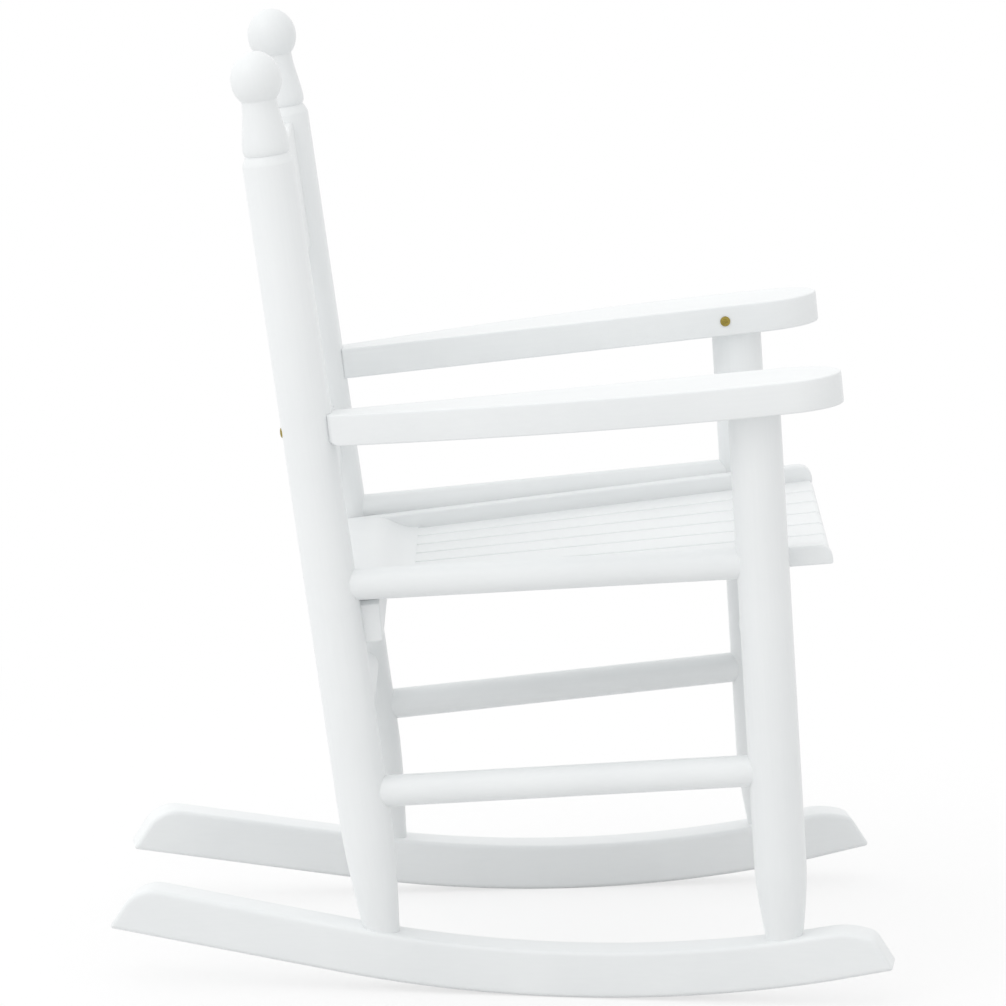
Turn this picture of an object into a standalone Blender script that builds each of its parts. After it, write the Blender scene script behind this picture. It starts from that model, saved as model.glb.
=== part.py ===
"""Child's rocking chair: turned posts on bowed rockers, paddle arms, a fanned slat seat, a slat back.

Metres, +Z up. +X is the sitter's front, +Y the sitter's left, and the floor is Z = 0.
"""

import math

import bmesh
import bpy
from mathutils import Matrix, Vector

# Fit
GAP = 0.0003  # clearance between pieces that touch
EASE = 0.0012  # softened edge on sawn wood
ARC_STEPS = 6  # flats in each rounded corner
SHARP_ANGLE = math.radians(40.0)  # edges sharper than this are eased and stay crisp

# Stance of the posts on the rockers
REAR_SPREAD = 0.247  # between the rear post axes
FRONT_SPREAD = 0.307  # between the front post axes
REAR_FOOT_X = -0.0726  # where a rear post's axis meets its rocker
FRONT_FOOT_X = 0.1714  # where a front post's axis meets its rocker
REAR_LEAN = math.radians(8.0)  # backward lean of the rear posts
FRONT_LEAN = math.radians(3.7)  # backward lean of the front posts

# Rockers
ROCKER_LENGTH = 0.480
ROCKER_HEIGHT = 0.029
ROCKER_THICK = 0.0257
ROCKER_RADIUS = 0.865  # of the bow underneath
ROCKER_LOW = 0.041  # lowest point, ahead of the rocker's middle
ROCKER_TAIL = 0.139  # straight run at the rear end
ROCKER_CHORD = 0.040  # length of one flat of the bow
ROCKER_END_SLANT = math.radians(57.0)  # end cut, from the horizontal
ROCKER_REAR_RADIUS = 0.022  # upper corner of the rear end
ROCKER_FRONT_RADIUS = 0.013  # upper corner of the front end
ROCKER_TIP_RADIUS = 0.0018
ROCKER_EASE = 0.0015

# Posts
POST_DIA = 0.0316
POST_SIDES = 32
FOOT_TENON_DIA = 0.016
FOOT_TENON_LENGTH = 0.018
REAR_FOOT_DIA = 0.0218
REAR_FOOT_TAPER = 0.060  # length over which the foot narrows
FRONT_FOOT_DIA = 0.0224
FRONT_FOOT_TAPER = 0.034
FINIAL_HEIGHT = 0.524  # rocker to the centre of the ball, along the post
FINIAL_DIA = 0.0308
FINIAL_TALL = 0.034  # the ball is a little taller than wide
FINIAL_STEPS = 10
NECK_DIA = 0.0214  # just under the ball
NECK_BASE_DIA = 0.0284
GROOVE_DROP = 0.0450  # ball centre to groove
GROOVE_DEPTH = 0.0022
GROOVE_WIDTH = 0.0022
SHOULDER_LENGTH = 0.006  # chamfer from the groove out to the full post

# Rungs and stretchers, with heights along the posts from the rocker
RUNG_DIA = 0.0192
RUNG_SIDES = 24
RUNG_MORTISE = 0.012  # depth in the post
LOWER_RUNG_REAR = 0.0858
LOWER_RUNG_FRONT = 0.1037
SEAT_RUNG_REAR = 0.2146
SEAT_RUNG_FRONT = 0.2310
STRETCHER_RISE = 0.030  # stretchers over the lower side rungs

# Seat
SEAT_REAR_RISE = -0.0016  # top of the seat over the seat rung's axis, at the rear post
SEAT_FRONT_RISE = 0.0043  # and at the front post
SEAT_START = 0.0025  # rear ends of the slats, ahead of the rear post axis
SEAT_OVERHANG = 0.042  # noses, ahead of the front post axis
SIDE_SLAT_HEIGHT = 0.0122
SIDE_SLAT_THICK = 0.010
SIDE_SLAT_CLEAR = 0.0008  # side slat to post
SLAT_COUNT = 7
SLAT_THICK = 0.0048
SLAT_SINK = 0.0095  # tops of the inner slats below the side slats
SLAT_SPACE = 0.0028  # between neighbouring slats
SIDE_NOSE_RADIUS = 0.006
NOSE_RADIUS = 0.004
STRIP_DEPTH = 0.041  # rear strip, along the slats
STRIP_FLAT = 0.020  # level part before the ramp
STRIP_TOE = 0.0015  # thickness at the end of the ramp
REAR_RAIL_THICK = 0.0145
REAR_RAIL_PROUD = 0.012  # face of the rear rail ahead of the posts
REAR_RAIL_DEPTH = 0.0215
REAR_RAIL_SHORT = 0.002  # ends of the rear rail short of the post axes
FRONT_RAIL_THICK = 0.018
FRONT_RAIL_DEPTH = 0.040

# Back, with heights along the rear posts from the rocker
CREST_DROP = 0.0098  # groove of the rear posts to the top of the crest rail
CREST_HEIGHT = 0.080
BACK_RAIL_THICK = 0.0115
LOWER_RAIL_BOTTOM = 0.250
LOWER_RAIL_HEIGHT = 0.036
BACK_SLAT_COUNT = 5
BACK_SLAT_WIDTH = 0.024
BACK_SLAT_THICK = 0.0065
BACK_SLAT_HOUSING = 0.008  # depth in each rail
TENON_THICK = 0.006
TENON_LENGTH = 0.010  # beyond the face of the post
TENON_MARGIN = 0.008  # rail left above and below the tenon

# Arms
ARM_THICK = 0.0192
ARM_REAR_HEIGHT = 0.3012  # underside, along the rear post
ARM_FRONT_HEIGHT = 0.3241  # underside, along the front post
ARM_REAR_LAP = 0.0016  # depth of the hollow that fits the rear post
ARM_REAR_SLANT = math.radians(8.2)  # rear end, square to the splayed arm
ARM_REAR_INSIDE = 0.0097  # rear end, inside the rear post axis
ARM_REAR_OUTSIDE = 0.0125  # rear end, outside the rear post axis
ARM_REAR_RADIUS = 0.008  # outer rear corner
ARM_REAR_CORNER = 0.002  # inner rear corner
ARM_FRONT_INSIDE = 0.0228  # inner edge, inside the front post axis
ARM_WIDTH = 0.0556  # at the widest
ARM_WIDEST_AHEAD = 0.0218  # widest place, ahead of the front post axis
ARM_OVERHANG = 0.0535  # tip, ahead of the front post axis
ARM_TIP_INSET = 0.0281  # tip, outside the inner edge
ARM_INNER_NOSE = 0.038  # length of the inner front corner
ARM_REAR_SLOPE = 0.318  # outer edge leaving the rear end
ARM_FRONT_SLOPE = -0.029  # outer edge arriving at the widest place
ARM_EASE = 0.0015
ARM_TENON_DIA = 0.022
ARM_TENON_LENGTH = 0.016

# Screws
SCREW_SIDES = 12
HEAD_STEPS = 3  # flats in the head's dome
HEAD_RIM = 0.3  # upright rim, as a share of the head's height
HEAD_DIA = 0.0064
HEAD_HEIGHT = 0.0016
SHANK_DIA = 0.0032
ARM_SCREW_LENGTH = 0.020
ARM_SCREW_BACK = 0.0068  # behind the front post axis
REAR_SCREW_BITE = 0.022  # into the arm's end
REAR_SCREW_SINK = 0.0006  # head's seat below the post's surface

# Finishes
PAINT = (0.86, 0.86, 0.85, 1.0)
PAINT_ROUGHNESS = 0.38
BRASS = (0.52, 0.42, 0.13, 1.0)
BRASS_ROUGHNESS = 0.35

SIDES = {"left": 1, "right": -1}
POST_RADIUS = POST_DIA / 2
FOOT_RUN = FRONT_FOOT_X - REAR_FOOT_X
SPLAY = math.atan2((FRONT_SPREAD - REAR_SPREAD) / 2, FOOT_RUN)

for old in list(bpy.data.objects):
    bpy.data.objects.remove(old)

chair = bpy.data.collections.new("child_rocking_chair")
joinery = bpy.data.collections.new("joinery_cutters")
bpy.context.scene.collection.children.link(chair)
bpy.context.scene.collection.children.link(joinery)


# Shapes


def finished_mesh(bm, name):
    """Mesh from bm with its flat faces joined and its faces turned outwards."""
    bmesh.ops.remove_doubles(bm, verts=bm.verts, dist=0.00001)
    bmesh.ops.dissolve_limit(bm, angle_limit=math.radians(0.1), verts=bm.verts, edges=bm.edges)
    bmesh.ops.recalc_face_normals(bm, faces=bm.faces)
    mesh = bpy.data.meshes.new(name)
    bm.to_mesh(mesh)
    bm.free()
    mesh.shade_smooth()
    mesh.set_sharp_from_angle(angle=SHARP_ANGLE)
    return mesh


def outline_mesh(name, points, thickness):
    """Flat outline in X and Y, given its thickness about Z = 0."""
    curve = bpy.data.curves.new(name, "CURVE")
    curve.dimensions = "2D"
    curve.fill_mode = "BOTH"
    curve.extrude = thickness / 2
    spline = curve.splines.new("POLY")
    spline.points.add(len(points) - 1)
    for place, point in zip(spline.points, points):
        place.co = (point[0], point[1], 0.0, 1.0)
    spline.use_cyclic_u = True
    drawn = bpy.data.objects.new(name, curve)
    joinery.objects.link(drawn)
    depsgraph = bpy.context.evaluated_depsgraph_get()
    shape = bpy.data.meshes.new_from_object(drawn.evaluated_get(depsgraph))
    bpy.data.objects.remove(drawn)
    bm = bmesh.new()
    bm.from_mesh(shape)
    bpy.data.meshes.remove(shape)
    return finished_mesh(bm, name)


def side_mesh(name, points, thickness):
    """Outline seen from the side, in X and Z, given its thickness about Y = 0."""
    mesh = outline_mesh(name, points, thickness)
    mesh.transform(Matrix.Rotation(math.pi / 2, 4, "X"))
    return mesh


def front_mesh(name, points, thickness):
    """Outline seen from the front, in Y and Z, given its thickness about X = 0."""
    mesh = side_mesh(name, points, thickness)
    mesh.transform(Matrix.Rotation(math.pi / 2, 4, "Z"))
    return mesh


def rounded(corners):
    """Outline through (point, radius) corners, with each radius drawn as an arc."""
    outline = []
    for index, (point, radius) in enumerate(corners):
        corner = Vector(point)
        if radius == 0:
            outline.append(corner)
            continue
        before = (Vector(corners[index - 1][0]) - corner).normalized()
        after = (Vector(corners[(index + 1) % len(corners)][0]) - corner).normalized()
        half = before.angle(after) / 2
        centre = corner + (before + after).normalized() * (radius / math.sin(half))
        start = (corner + before * (radius / math.tan(half)) - centre).normalized()
        end = (corner + after * (radius / math.tan(half)) - centre).normalized()
        for step in range(ARC_STEPS + 1):
            outline.append(centre + start.slerp(end, step / ARC_STEPS) * radius)
    return outline


def dowel_mesh(name, radius, length, sides):
    bm = bmesh.new()
    bmesh.ops.create_cone(bm, cap_ends=True, segments=sides, radius1=radius, radius2=radius, depth=length)
    return finished_mesh(bm, name)


def board_mesh(name, size):
    bm = bmesh.new()
    bmesh.ops.create_cube(bm, size=1.0)
    bmesh.ops.scale(bm, vec=size, verts=bm.verts)
    return finished_mesh(bm, name)


def profile_mesh(name, profile):
    """Half outline at +X, from the top down the outer side, for a Screw modifier."""
    bm = bmesh.new()
    line = [bm.verts.new((radius, 0.0, height)) for radius, height in profile]
    for upper, lower in zip(line, line[1:]):
        bm.edges.new((upper, lower))
    mesh = bpy.data.meshes.new(name)
    bm.to_mesh(mesh)
    bm.free()
    return mesh


# Objects


def finish(name, colour, roughness, metallic):
    material = bpy.data.materials.new(name)
    material.use_nodes = True
    shader = material.node_tree.nodes["Principled BSDF"]
    shader.inputs["Base Color"].default_value = colour
    shader.inputs["Roughness"].default_value = roughness
    shader.inputs["Metallic"].default_value = metallic
    return material


def piece(mesh, parent=None):
    """A painted wooden piece of the chair, named for its mesh."""
    mesh.materials.append(finish(mesh.name, PAINT, PAINT_ROUGHNESS, 0.0))
    made = bpy.data.objects.new(mesh.name, mesh)
    made.parent = parent
    chair.objects.link(made)
    return made


def cutter(mesh, parent=None):
    made = bpy.data.objects.new(mesh.name, mesh)
    made.parent = parent
    made.hide_render = True
    made.display_type = "WIRE"
    joinery.objects.link(made)
    return made


def frame_empty(name, origin, pitch):
    """Empty whose X runs forward, raised by the angle pitch."""
    made = bpy.data.objects.new(name, None)
    made.location = origin
    made.rotation_euler = (0.0, -pitch, 0.0)
    chair.objects.link(made)
    bpy.context.view_layer.update()
    return made


def turn(made, sides):
    step = made.modifiers.new("turned", "SCREW")
    step.axis = "Z"
    step.steps = sides
    step.render_steps = sides
    step.use_merge_vertices = True
    step.merge_threshold = 0.00001
    step.use_smooth_shade = True


def ease(made, width, segments=1):
    step = made.modifiers.new("eased", "BEVEL")
    step.width = width
    step.segments = segments
    step.limit_method = "ANGLE"
    step.angle_limit = SHARP_ANGLE


def shape_by(made, tool, operation):
    step = made.modifiers.new(tool.name, "BOOLEAN")
    step.operation = operation
    step.solver = "EXACT"
    step.object = tool


def stand_between(made, start, end):
    made.location = (start + end) / 2
    made.rotation_mode = "QUATERNION"
    made.rotation_quaternion = (end - start).to_track_quat("Z", "Y")


def bore(made, start, end, radius, sides):
    """Round hole in a piece, between two points in the chair's frame."""
    tool = cutter(dowel_mesh(f"{made.name}_bore", radius + GAP, (end - start).length, sides))
    stand_between(tool, start, end)
    shape_by(made, tool, "DIFFERENCE")


# Rockers

BOW_STEP = 2 * math.asin(ROCKER_CHORD / 2 / ROCKER_RADIUS)
BOW_CENTRE = ROCKER_RADIUS * math.cos(BOW_STEP / 2)  # puts the lowest flat on the floor
BOW_REAR_RUN = ROCKER_LENGTH / 2 + ROCKER_LOW - ROCKER_TAIL  # lowest point back to the straight tail
BOW_REAR_FLATS = round(math.asin(BOW_REAR_RUN / ROCKER_RADIUS) / BOW_STEP - 0.5)
BOW_REAR_ANGLE = -(BOW_REAR_FLATS + 0.5) * BOW_STEP
BOW_FRONT_ANGLE = math.asin((ROCKER_LENGTH / 2 - ROCKER_LOW) / ROCKER_RADIUS)


def bow_point(angle, rise):
    """Point at an angle from the lowest place of the bow, rise above its underside."""
    reach = ROCKER_RADIUS - rise
    return Vector((ROCKER_LOW + reach * math.sin(angle), BOW_CENTRE - reach * math.cos(angle)))


def rocker_top(along):
    """Height of the rocker's top, at a distance ahead of its middle."""
    tail_start = bow_point(BOW_REAR_ANGLE, ROCKER_HEIGHT)
    if along < tail_start.x:
        return tail_start.y + (along - tail_start.x) * math.tan(BOW_REAR_ANGLE)
    angle = math.asin((along - ROCKER_LOW) / (ROCKER_RADIUS - ROCKER_HEIGHT))
    return bow_point(angle, ROCKER_HEIGHT).y


def rocker_end_corner(tip, angle, inward):
    """Upper corner of an end that is cut back from its tip; inward is +1 at the rear, -1 at the front."""
    cut = Vector((inward * math.cos(ROCKER_END_SLANT), math.sin(ROCKER_END_SLANT)))
    across = Vector((-math.sin(angle), math.cos(angle)))
    return tip + cut * (ROCKER_HEIGHT / cut.dot(across))


def rocker_outline():
    tail_start = bow_point(BOW_REAR_ANGLE, 0.0)
    tail_run = -ROCKER_LENGTH / 2 - tail_start.x
    rear_tip = tail_start + Vector((tail_run, tail_run * math.tan(BOW_REAR_ANGLE)))
    front_tip = bow_point(BOW_FRONT_ANGLE, 0.0)
    rear_corner = rocker_end_corner(rear_tip, BOW_REAR_ANGLE, 1)
    front_corner = rocker_end_corner(front_tip, BOW_FRONT_ANGLE, -1)
    front_flats = int((BOW_FRONT_ANGLE - ROCKER_CHORD / 2 / ROCKER_RADIUS) / BOW_STEP - 0.5)
    angles = [(flat + 0.5) * BOW_STEP for flat in range(-BOW_REAR_FLATS - 1, front_flats + 1)]
    below = [(bow_point(angle, 0.0), 0) for angle in angles]
    above = [(bow_point(angle, ROCKER_HEIGHT), 0) for angle in reversed(angles)]
    rear_end = [(rear_corner, ROCKER_REAR_RADIUS), (rear_tip, ROCKER_TIP_RADIUS)]
    front_end = [(front_tip, ROCKER_TIP_RADIUS), (front_corner, ROCKER_FRONT_RADIUS)]
    return rounded(rear_end + below + front_end + above)


def on_rocker(made, side, raised):
    """Stands a rocker, or a tool of its shape, under the posts of one side."""
    middle = REAR_SPREAD / 2 - REAR_FOOT_X * math.tan(SPLAY)
    made.location = (0.0, side * middle, raised)
    made.rotation_euler = (0.0, 0.0, side * SPLAY)


# Posts: each foot follows its rocker's curve, round a tenon


def rear_foot(side):
    top = rocker_top(REAR_FOOT_X / math.cos(SPLAY))
    return Vector((REAR_FOOT_X, side * REAR_SPREAD / 2, top))


def front_foot(side):
    top = rocker_top(FRONT_FOOT_X / math.cos(SPLAY))
    return Vector((FRONT_FOOT_X, side * FRONT_SPREAD / 2, top))


def rear_point(side, height):
    return rear_foot(side) + height * Vector((-math.sin(REAR_LEAN), 0.0, math.cos(REAR_LEAN)))


def front_point(side, height):
    return front_foot(side) + height * Vector((-math.sin(FRONT_LEAN), 0.0, math.cos(FRONT_LEAN)))


def foot_profile(foot_dia, taper):
    return [
        (POST_RADIUS, taper),
        (foot_dia / 2, 0.0),
        (foot_dia / 2, -FOOT_TENON_LENGTH),
        (0.0, -FOOT_TENON_LENGTH),
    ]


def rear_profile():
    neck_angle = math.pi - math.asin(NECK_DIA / FINIAL_DIA)
    profile = []
    for step in range(FINIAL_STEPS + 1):
        angle = neck_angle * step / FINIAL_STEPS
        rise = FINIAL_TALL / 2 * math.cos(angle)
        profile.append((FINIAL_DIA / 2 * math.sin(angle), FINIAL_HEIGHT + rise))
    groove = FINIAL_HEIGHT - GROOVE_DROP
    profile.append((NECK_BASE_DIA / 2, groove + GROOVE_WIDTH / 2))
    profile.append((NECK_BASE_DIA / 2 - GROOVE_DEPTH, groove))
    profile.append((NECK_BASE_DIA / 2 - GROOVE_DEPTH / 2, groove - GROOVE_WIDTH / 2))
    profile.append((POST_RADIUS, groove - GROOVE_WIDTH / 2 - SHOULDER_LENGTH))
    return profile + foot_profile(REAR_FOOT_DIA, REAR_FOOT_TAPER)


ARM_PITCH = math.atan2(
    front_point(1, ARM_FRONT_HEIGHT).z - rear_point(1, ARM_REAR_HEIGHT).z,
    front_point(1, ARM_FRONT_HEIGHT).x - rear_point(1, ARM_REAR_HEIGHT).x,
)


def front_profile():
    shoulder = ARM_FRONT_HEIGHT - GAP - POST_RADIUS * math.tan(abs(ARM_PITCH - FRONT_LEAN))
    top = ARM_FRONT_HEIGHT + ARM_TENON_LENGTH
    profile = [(0.0, top), (ARM_TENON_DIA / 2, top), (ARM_TENON_DIA / 2, shoulder), (POST_RADIUS, shoulder)]
    return profile + foot_profile(FRONT_FOOT_DIA, FRONT_FOOT_TAPER)


def stand_post(name, profile, foot, lean, bed):
    """Turned post whose foot is cut by the rocker's bed; the bed's hole leaves the tenon."""
    post = piece(profile_mesh(name, profile))
    post.location = foot
    post.rotation_euler = (0.0, -lean, 0.0)
    turn(post, POST_SIDES)
    shape_by(post, bed, "DIFFERENCE")
    return post


def post_body(name, foot, top):
    """Plain round of a post and its clearance, which hollows the pieces that fit round it."""
    body = cutter(dowel_mesh(name, POST_RADIUS + GAP, (top - foot).length, POST_SIDES))
    stand_between(body, foot, top)
    return body


rear_posts = {}
front_posts = {}
rear_bodies = {}
front_bodies = {}
for word, side in SIDES.items():
    rocker = piece(side_mesh(f"rocker_{word}", rocker_outline(), ROCKER_THICK))
    on_rocker(rocker, side, 0.0)
    ease(rocker, ROCKER_EASE, 2)
    bed = cutter(side_mesh(f"rocker_bed_{word}", rocker_outline(), 2 * POST_DIA))
    on_rocker(bed, side, GAP)
    for point in (rear_point, front_point):
        tenon_end = point(side, -FOOT_TENON_LENGTH - GAP)
        bore(rocker, tenon_end, point(side, ROCKER_HEIGHT), FOOT_TENON_DIA / 2, RUNG_SIDES)
        hole = cutter(dowel_mesh(f"{bed.name}_hole", FOOT_TENON_DIA / 2, 4 * ROCKER_HEIGHT, RUNG_SIDES))
        stand_between(hole, point(side, -2 * ROCKER_HEIGHT), point(side, 2 * ROCKER_HEIGHT))
        shape_by(bed, hole, "DIFFERENCE")
    rear_posts[word] = stand_post(f"rear_post_{word}", rear_profile(), rear_foot(side), REAR_LEAN, bed)
    front_posts[word] = stand_post(f"front_post_{word}", front_profile(), front_foot(side), FRONT_LEAN, bed)
    rear_top = rear_point(side, FINIAL_HEIGHT)
    front_top = front_point(side, ARM_FRONT_HEIGHT)
    rear_bodies[word] = post_body(f"rear_body_{word}", rear_foot(side), rear_top)
    front_bodies[word] = post_body(f"front_body_{word}", front_foot(side), front_top)


# Rungs and stretchers: dowels glued into blind holes in the posts


def dowel_between(name, start_post, start, end_post, end):
    """Dowel between two post axes, with a hole for it in each post."""
    along = (end - start).normalized()
    first = start + along * (POST_RADIUS - RUNG_MORTISE)
    last = end - along * (POST_RADIUS - RUNG_MORTISE)
    dowel = piece(dowel_mesh(name, RUNG_DIA / 2, (last - first).length, RUNG_SIDES))
    stand_between(dowel, first, last)
    bore(start_post, first - along * GAP, start + along * POST_DIA, RUNG_DIA / 2, RUNG_SIDES)
    bore(end_post, last + along * GAP, end - along * POST_DIA, RUNG_DIA / 2, RUNG_SIDES)


for word, side in SIDES.items():
    for level, rear_height, front_height in (
        ("lower", LOWER_RUNG_REAR, LOWER_RUNG_FRONT),
        ("seat", SEAT_RUNG_REAR, SEAT_RUNG_FRONT),
    ):
        dowel_between(
            f"{level}_rung_{word}",
            rear_posts[word],
            rear_point(side, rear_height),
            front_posts[word],
            front_point(side, front_height),
        )
for place, posts, point, height in (
    ("rear", rear_posts, rear_point, LOWER_RUNG_REAR + STRETCHER_RISE),
    ("front", front_posts, front_point, LOWER_RUNG_FRONT + STRETCHER_RISE),
):
    name = f"lower_{place}_stretcher"
    dowel_between(name, posts["left"], point(1, height), posts["right"], point(-1, height))


# Rails: boards hollowed to fit round posts, with a tenon into each


def tenon_rail(mesh, parent, middle, tenon_height, tenon_half, posts, bodies):
    """Rail from post to post; middle is the tenon's centre in the parent's frame."""
    rail = piece(mesh, parent)
    rail.location = middle
    ease(rail, EASE)
    for body in bodies.values():
        shape_by(rail, body, "DIFFERENCE")
    tenon = cutter(board_mesh(f"{rail.name}_tenon", (TENON_THICK, 2 * tenon_half, tenon_height)), parent)
    tenon.location = middle
    shape_by(rail, tenon, "UNION")
    mortise_size = (TENON_THICK + 2 * GAP, 2 * tenon_half + 2 * GAP, tenon_height + 2 * GAP)
    mortise = cutter(board_mesh(f"{rail.name}_mortise", mortise_size), parent)
    mortise.location = middle
    for post in posts.values():
        shape_by(post, mortise, "DIFFERENCE")
    return rail


# Back: a crest rail and a lower rail, with slats housed between them

back_frame = frame_empty("back_frame", rear_foot(0), REAR_LEAN)
BACK_REACH = REAR_SPREAD / 2 - POST_RADIUS + TENON_LENGTH
CREST_BOTTOM = FINIAL_HEIGHT - GROOVE_DROP - CREST_DROP - CREST_HEIGHT
LOWER_RAIL_TOP = LOWER_RAIL_BOTTOM + LOWER_RAIL_HEIGHT


def back_rail(name, bottom, height):
    board = board_mesh(name, (BACK_RAIL_THICK, REAR_SPREAD, height))
    middle = Vector((0.0, 0.0, bottom + height / 2))
    tenon_height = height - 2 * TENON_MARGIN
    return tenon_rail(board, back_frame, middle, tenon_height, BACK_REACH, rear_posts, rear_bodies)


crest = back_rail("crest_rail", CREST_BOTTOM, CREST_HEIGHT)
lower_rail = back_rail("lower_back_rail", LOWER_RAIL_BOTTOM, LOWER_RAIL_HEIGHT)

BACK_OPEN = REAR_SPREAD - POST_DIA
BACK_PITCH = (BACK_OPEN + BACK_SLAT_WIDTH) / (BACK_SLAT_COUNT + 1)
BACK_SLAT_LENGTH = CREST_BOTTOM - LOWER_RAIL_TOP + 2 * BACK_SLAT_HOUSING
for index in range(BACK_SLAT_COUNT):
    across = (index - (BACK_SLAT_COUNT - 1) / 2) * BACK_PITCH
    middle = Vector((0.0, across, (CREST_BOTTOM + LOWER_RAIL_TOP) / 2))
    name = f"back_slat_{index + 1}"
    slat = piece(board_mesh(name, (BACK_SLAT_THICK, BACK_SLAT_WIDTH, BACK_SLAT_LENGTH)), back_frame)
    slat.location = middle
    ease(slat, EASE)
    housing_size = (BACK_SLAT_THICK + 2 * GAP, BACK_SLAT_WIDTH + 2 * GAP, BACK_SLAT_LENGTH + 2 * GAP)
    housing = cutter(board_mesh(f"{name}_housing", housing_size), back_frame)
    housing.location = middle
    shape_by(crest, housing, "DIFFERENCE")
    shape_by(lower_rail, housing, "DIFFERENCE")


# Seat: slats fanned over a front and a rear rail, in a frame that follows the seat rungs

seat_rear = rear_point(0, SEAT_RUNG_REAR) + Vector((0.0, 0.0, SEAT_REAR_RISE))
seat_front = front_point(0, SEAT_RUNG_FRONT) + Vector((0.0, 0.0, SEAT_FRONT_RISE))
SEAT_RUN = (seat_front - seat_rear).length
SEAT_END = SEAT_RUN + SEAT_OVERHANG
SEAT_PITCH = math.atan2(seat_front.z - seat_rear.z, seat_front.x - seat_rear.x)
seat_frame = frame_empty("seat_frame", seat_rear, SEAT_PITCH)
SEAT_FLARE = (FRONT_SPREAD - REAR_SPREAD) / 2 / SEAT_RUN


def side_face(along):
    """Outer face of a side slat, from the middle of the seat."""
    inset = (POST_RADIUS + SIDE_SLAT_CLEAR) / math.cos(math.atan(SEAT_FLARE))
    return REAR_SPREAD / 2 - inset + along * SEAT_FLARE


def slat_field(along):
    """Half width between the side slats."""
    return side_face(along) - SIDE_SLAT_THICK


def tapered_slat(name, corners, low_edge, high_edge):
    """Side outline given width, with its sides on two straight edges that may spread."""
    mesh = side_mesh(name, rounded(corners), 1.0)
    for vertex in mesh.vertices:
        low = low_edge(vertex.co.x)
        high = high_edge(vertex.co.x)
        vertex.co.y = low + (vertex.co.y + 0.5) * (high - low)
    slat = piece(mesh, seat_frame)
    ease(slat, EASE)
    return slat


def slat_corners(top, thick, nose_radius):
    """Side outline of a slat with a rounded front top edge."""
    return [
        ((SEAT_START, top - thick), 0),
        ((SEAT_END, top - thick), 0),
        ((SEAT_END, top), nose_radius),
        ((SEAT_START, top), 0),
    ]


side_corners = slat_corners(0.0, SIDE_SLAT_HEIGHT, SIDE_NOSE_RADIUS)
tapered_slat("seat_side_slat_left", side_corners, slat_field, side_face)
tapered_slat("seat_side_slat_right", side_corners, lambda x: -side_face(x), lambda x: -slat_field(x))


def slat_edge(index, along):
    """Right edge of an inner slat, counted from the sitter's right."""
    slat_pitch = (2 * slat_field(along) - SLAT_SPACE) / SLAT_COUNT
    return SLAT_SPACE - slat_field(along) + index * slat_pitch


for index in range(SLAT_COUNT):
    tapered_slat(
        f"seat_slat_{index + 1}",
        slat_corners(-SLAT_SINK, SLAT_THICK, NOSE_RADIUS),
        lambda x, slot=index: slat_edge(slot, x),
        lambda x, slot=index: slat_edge(slot + 1, x) - SLAT_SPACE,
    )

strip_bottom = GAP - SLAT_SINK
strip_corners = [
    ((SEAT_START, strip_bottom), 0),
    ((SEAT_START + STRIP_DEPTH, strip_bottom), 0),
    ((SEAT_START + STRIP_DEPTH, strip_bottom + STRIP_TOE), 0),
    ((SEAT_START + STRIP_FLAT, 0.0), 0),
    ((SEAT_START, 0.0), 0),
]
tapered_slat("seat_rear_strip", strip_corners, lambda x: GAP - slat_field(x), lambda x: slat_field(x) - GAP)


def seat_rail_outline(along, half_length, depth):
    """Front outline of a rail that carries the inner slats between shoulders for the side slats."""
    bed = -SLAT_SINK - SLAT_THICK - GAP
    shoulder = -SIDE_SLAT_HEIGHT - GAP
    step = slat_field(along) - SLAT_SPACE / 2
    return [
        (-half_length, bed - depth),
        (half_length, bed - depth),
        (half_length, shoulder),
        (step, shoulder),
        (step, bed),
        (-step, bed),
        (-step, shoulder),
        (-half_length, shoulder),
    ]


rear_rail_x = POST_RADIUS + REAR_RAIL_PROUD - REAR_RAIL_THICK / 2
rear_rail_half = REAR_SPREAD / 2 - REAR_RAIL_SHORT
rear_rail_outline = seat_rail_outline(rear_rail_x, rear_rail_half, REAR_RAIL_DEPTH)
rear_rail = piece(front_mesh("rear_seat_rail", rear_rail_outline, REAR_RAIL_THICK), seat_frame)
rear_rail.location.x = rear_rail_x
for body in rear_bodies.values():
    shape_by(rear_rail, body, "DIFFERENCE")

front_rail_half = FRONT_SPREAD / 2
front_rail_middle = -SLAT_SINK - SLAT_THICK - GAP - FRONT_RAIL_DEPTH / 2
front_rail_outline = [
    (across, height - front_rail_middle)
    for across, height in seat_rail_outline(SEAT_RUN, front_rail_half, FRONT_RAIL_DEPTH)
]
tenon_rail(
    front_mesh("front_seat_rail", front_rail_outline, FRONT_RAIL_THICK),
    seat_frame,
    Vector((SEAT_RUN, 0.0, front_rail_middle)),
    FRONT_RAIL_DEPTH - 2 * TENON_MARGIN,
    FRONT_SPREAD / 2 - POST_RADIUS + TENON_LENGTH,
    front_posts,
    front_bodies,
)


# Arms: paddle-shaped boards, hollowed for the rear post, on the front post's tenon

arm_frame = frame_empty("arm_frame", rear_point(0, ARM_REAR_HEIGHT), ARM_PITCH)
ARM_RUN = (front_point(0, ARM_FRONT_HEIGHT) - rear_point(0, ARM_REAR_HEIGHT)).length
ARM_START = POST_RADIUS - ARM_REAR_LAP
ARM_TIP = ARM_RUN + ARM_OVERHANG
ARM_FLARE = (
    (FRONT_SPREAD - REAR_SPREAD) / 2 - ARM_FRONT_INSIDE + ARM_REAR_INSIDE
) / (ARM_RUN - ARM_START)


def arm_inner(along):
    return REAR_SPREAD / 2 - ARM_REAR_INSIDE + (along - ARM_START) * ARM_FLARE


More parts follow.
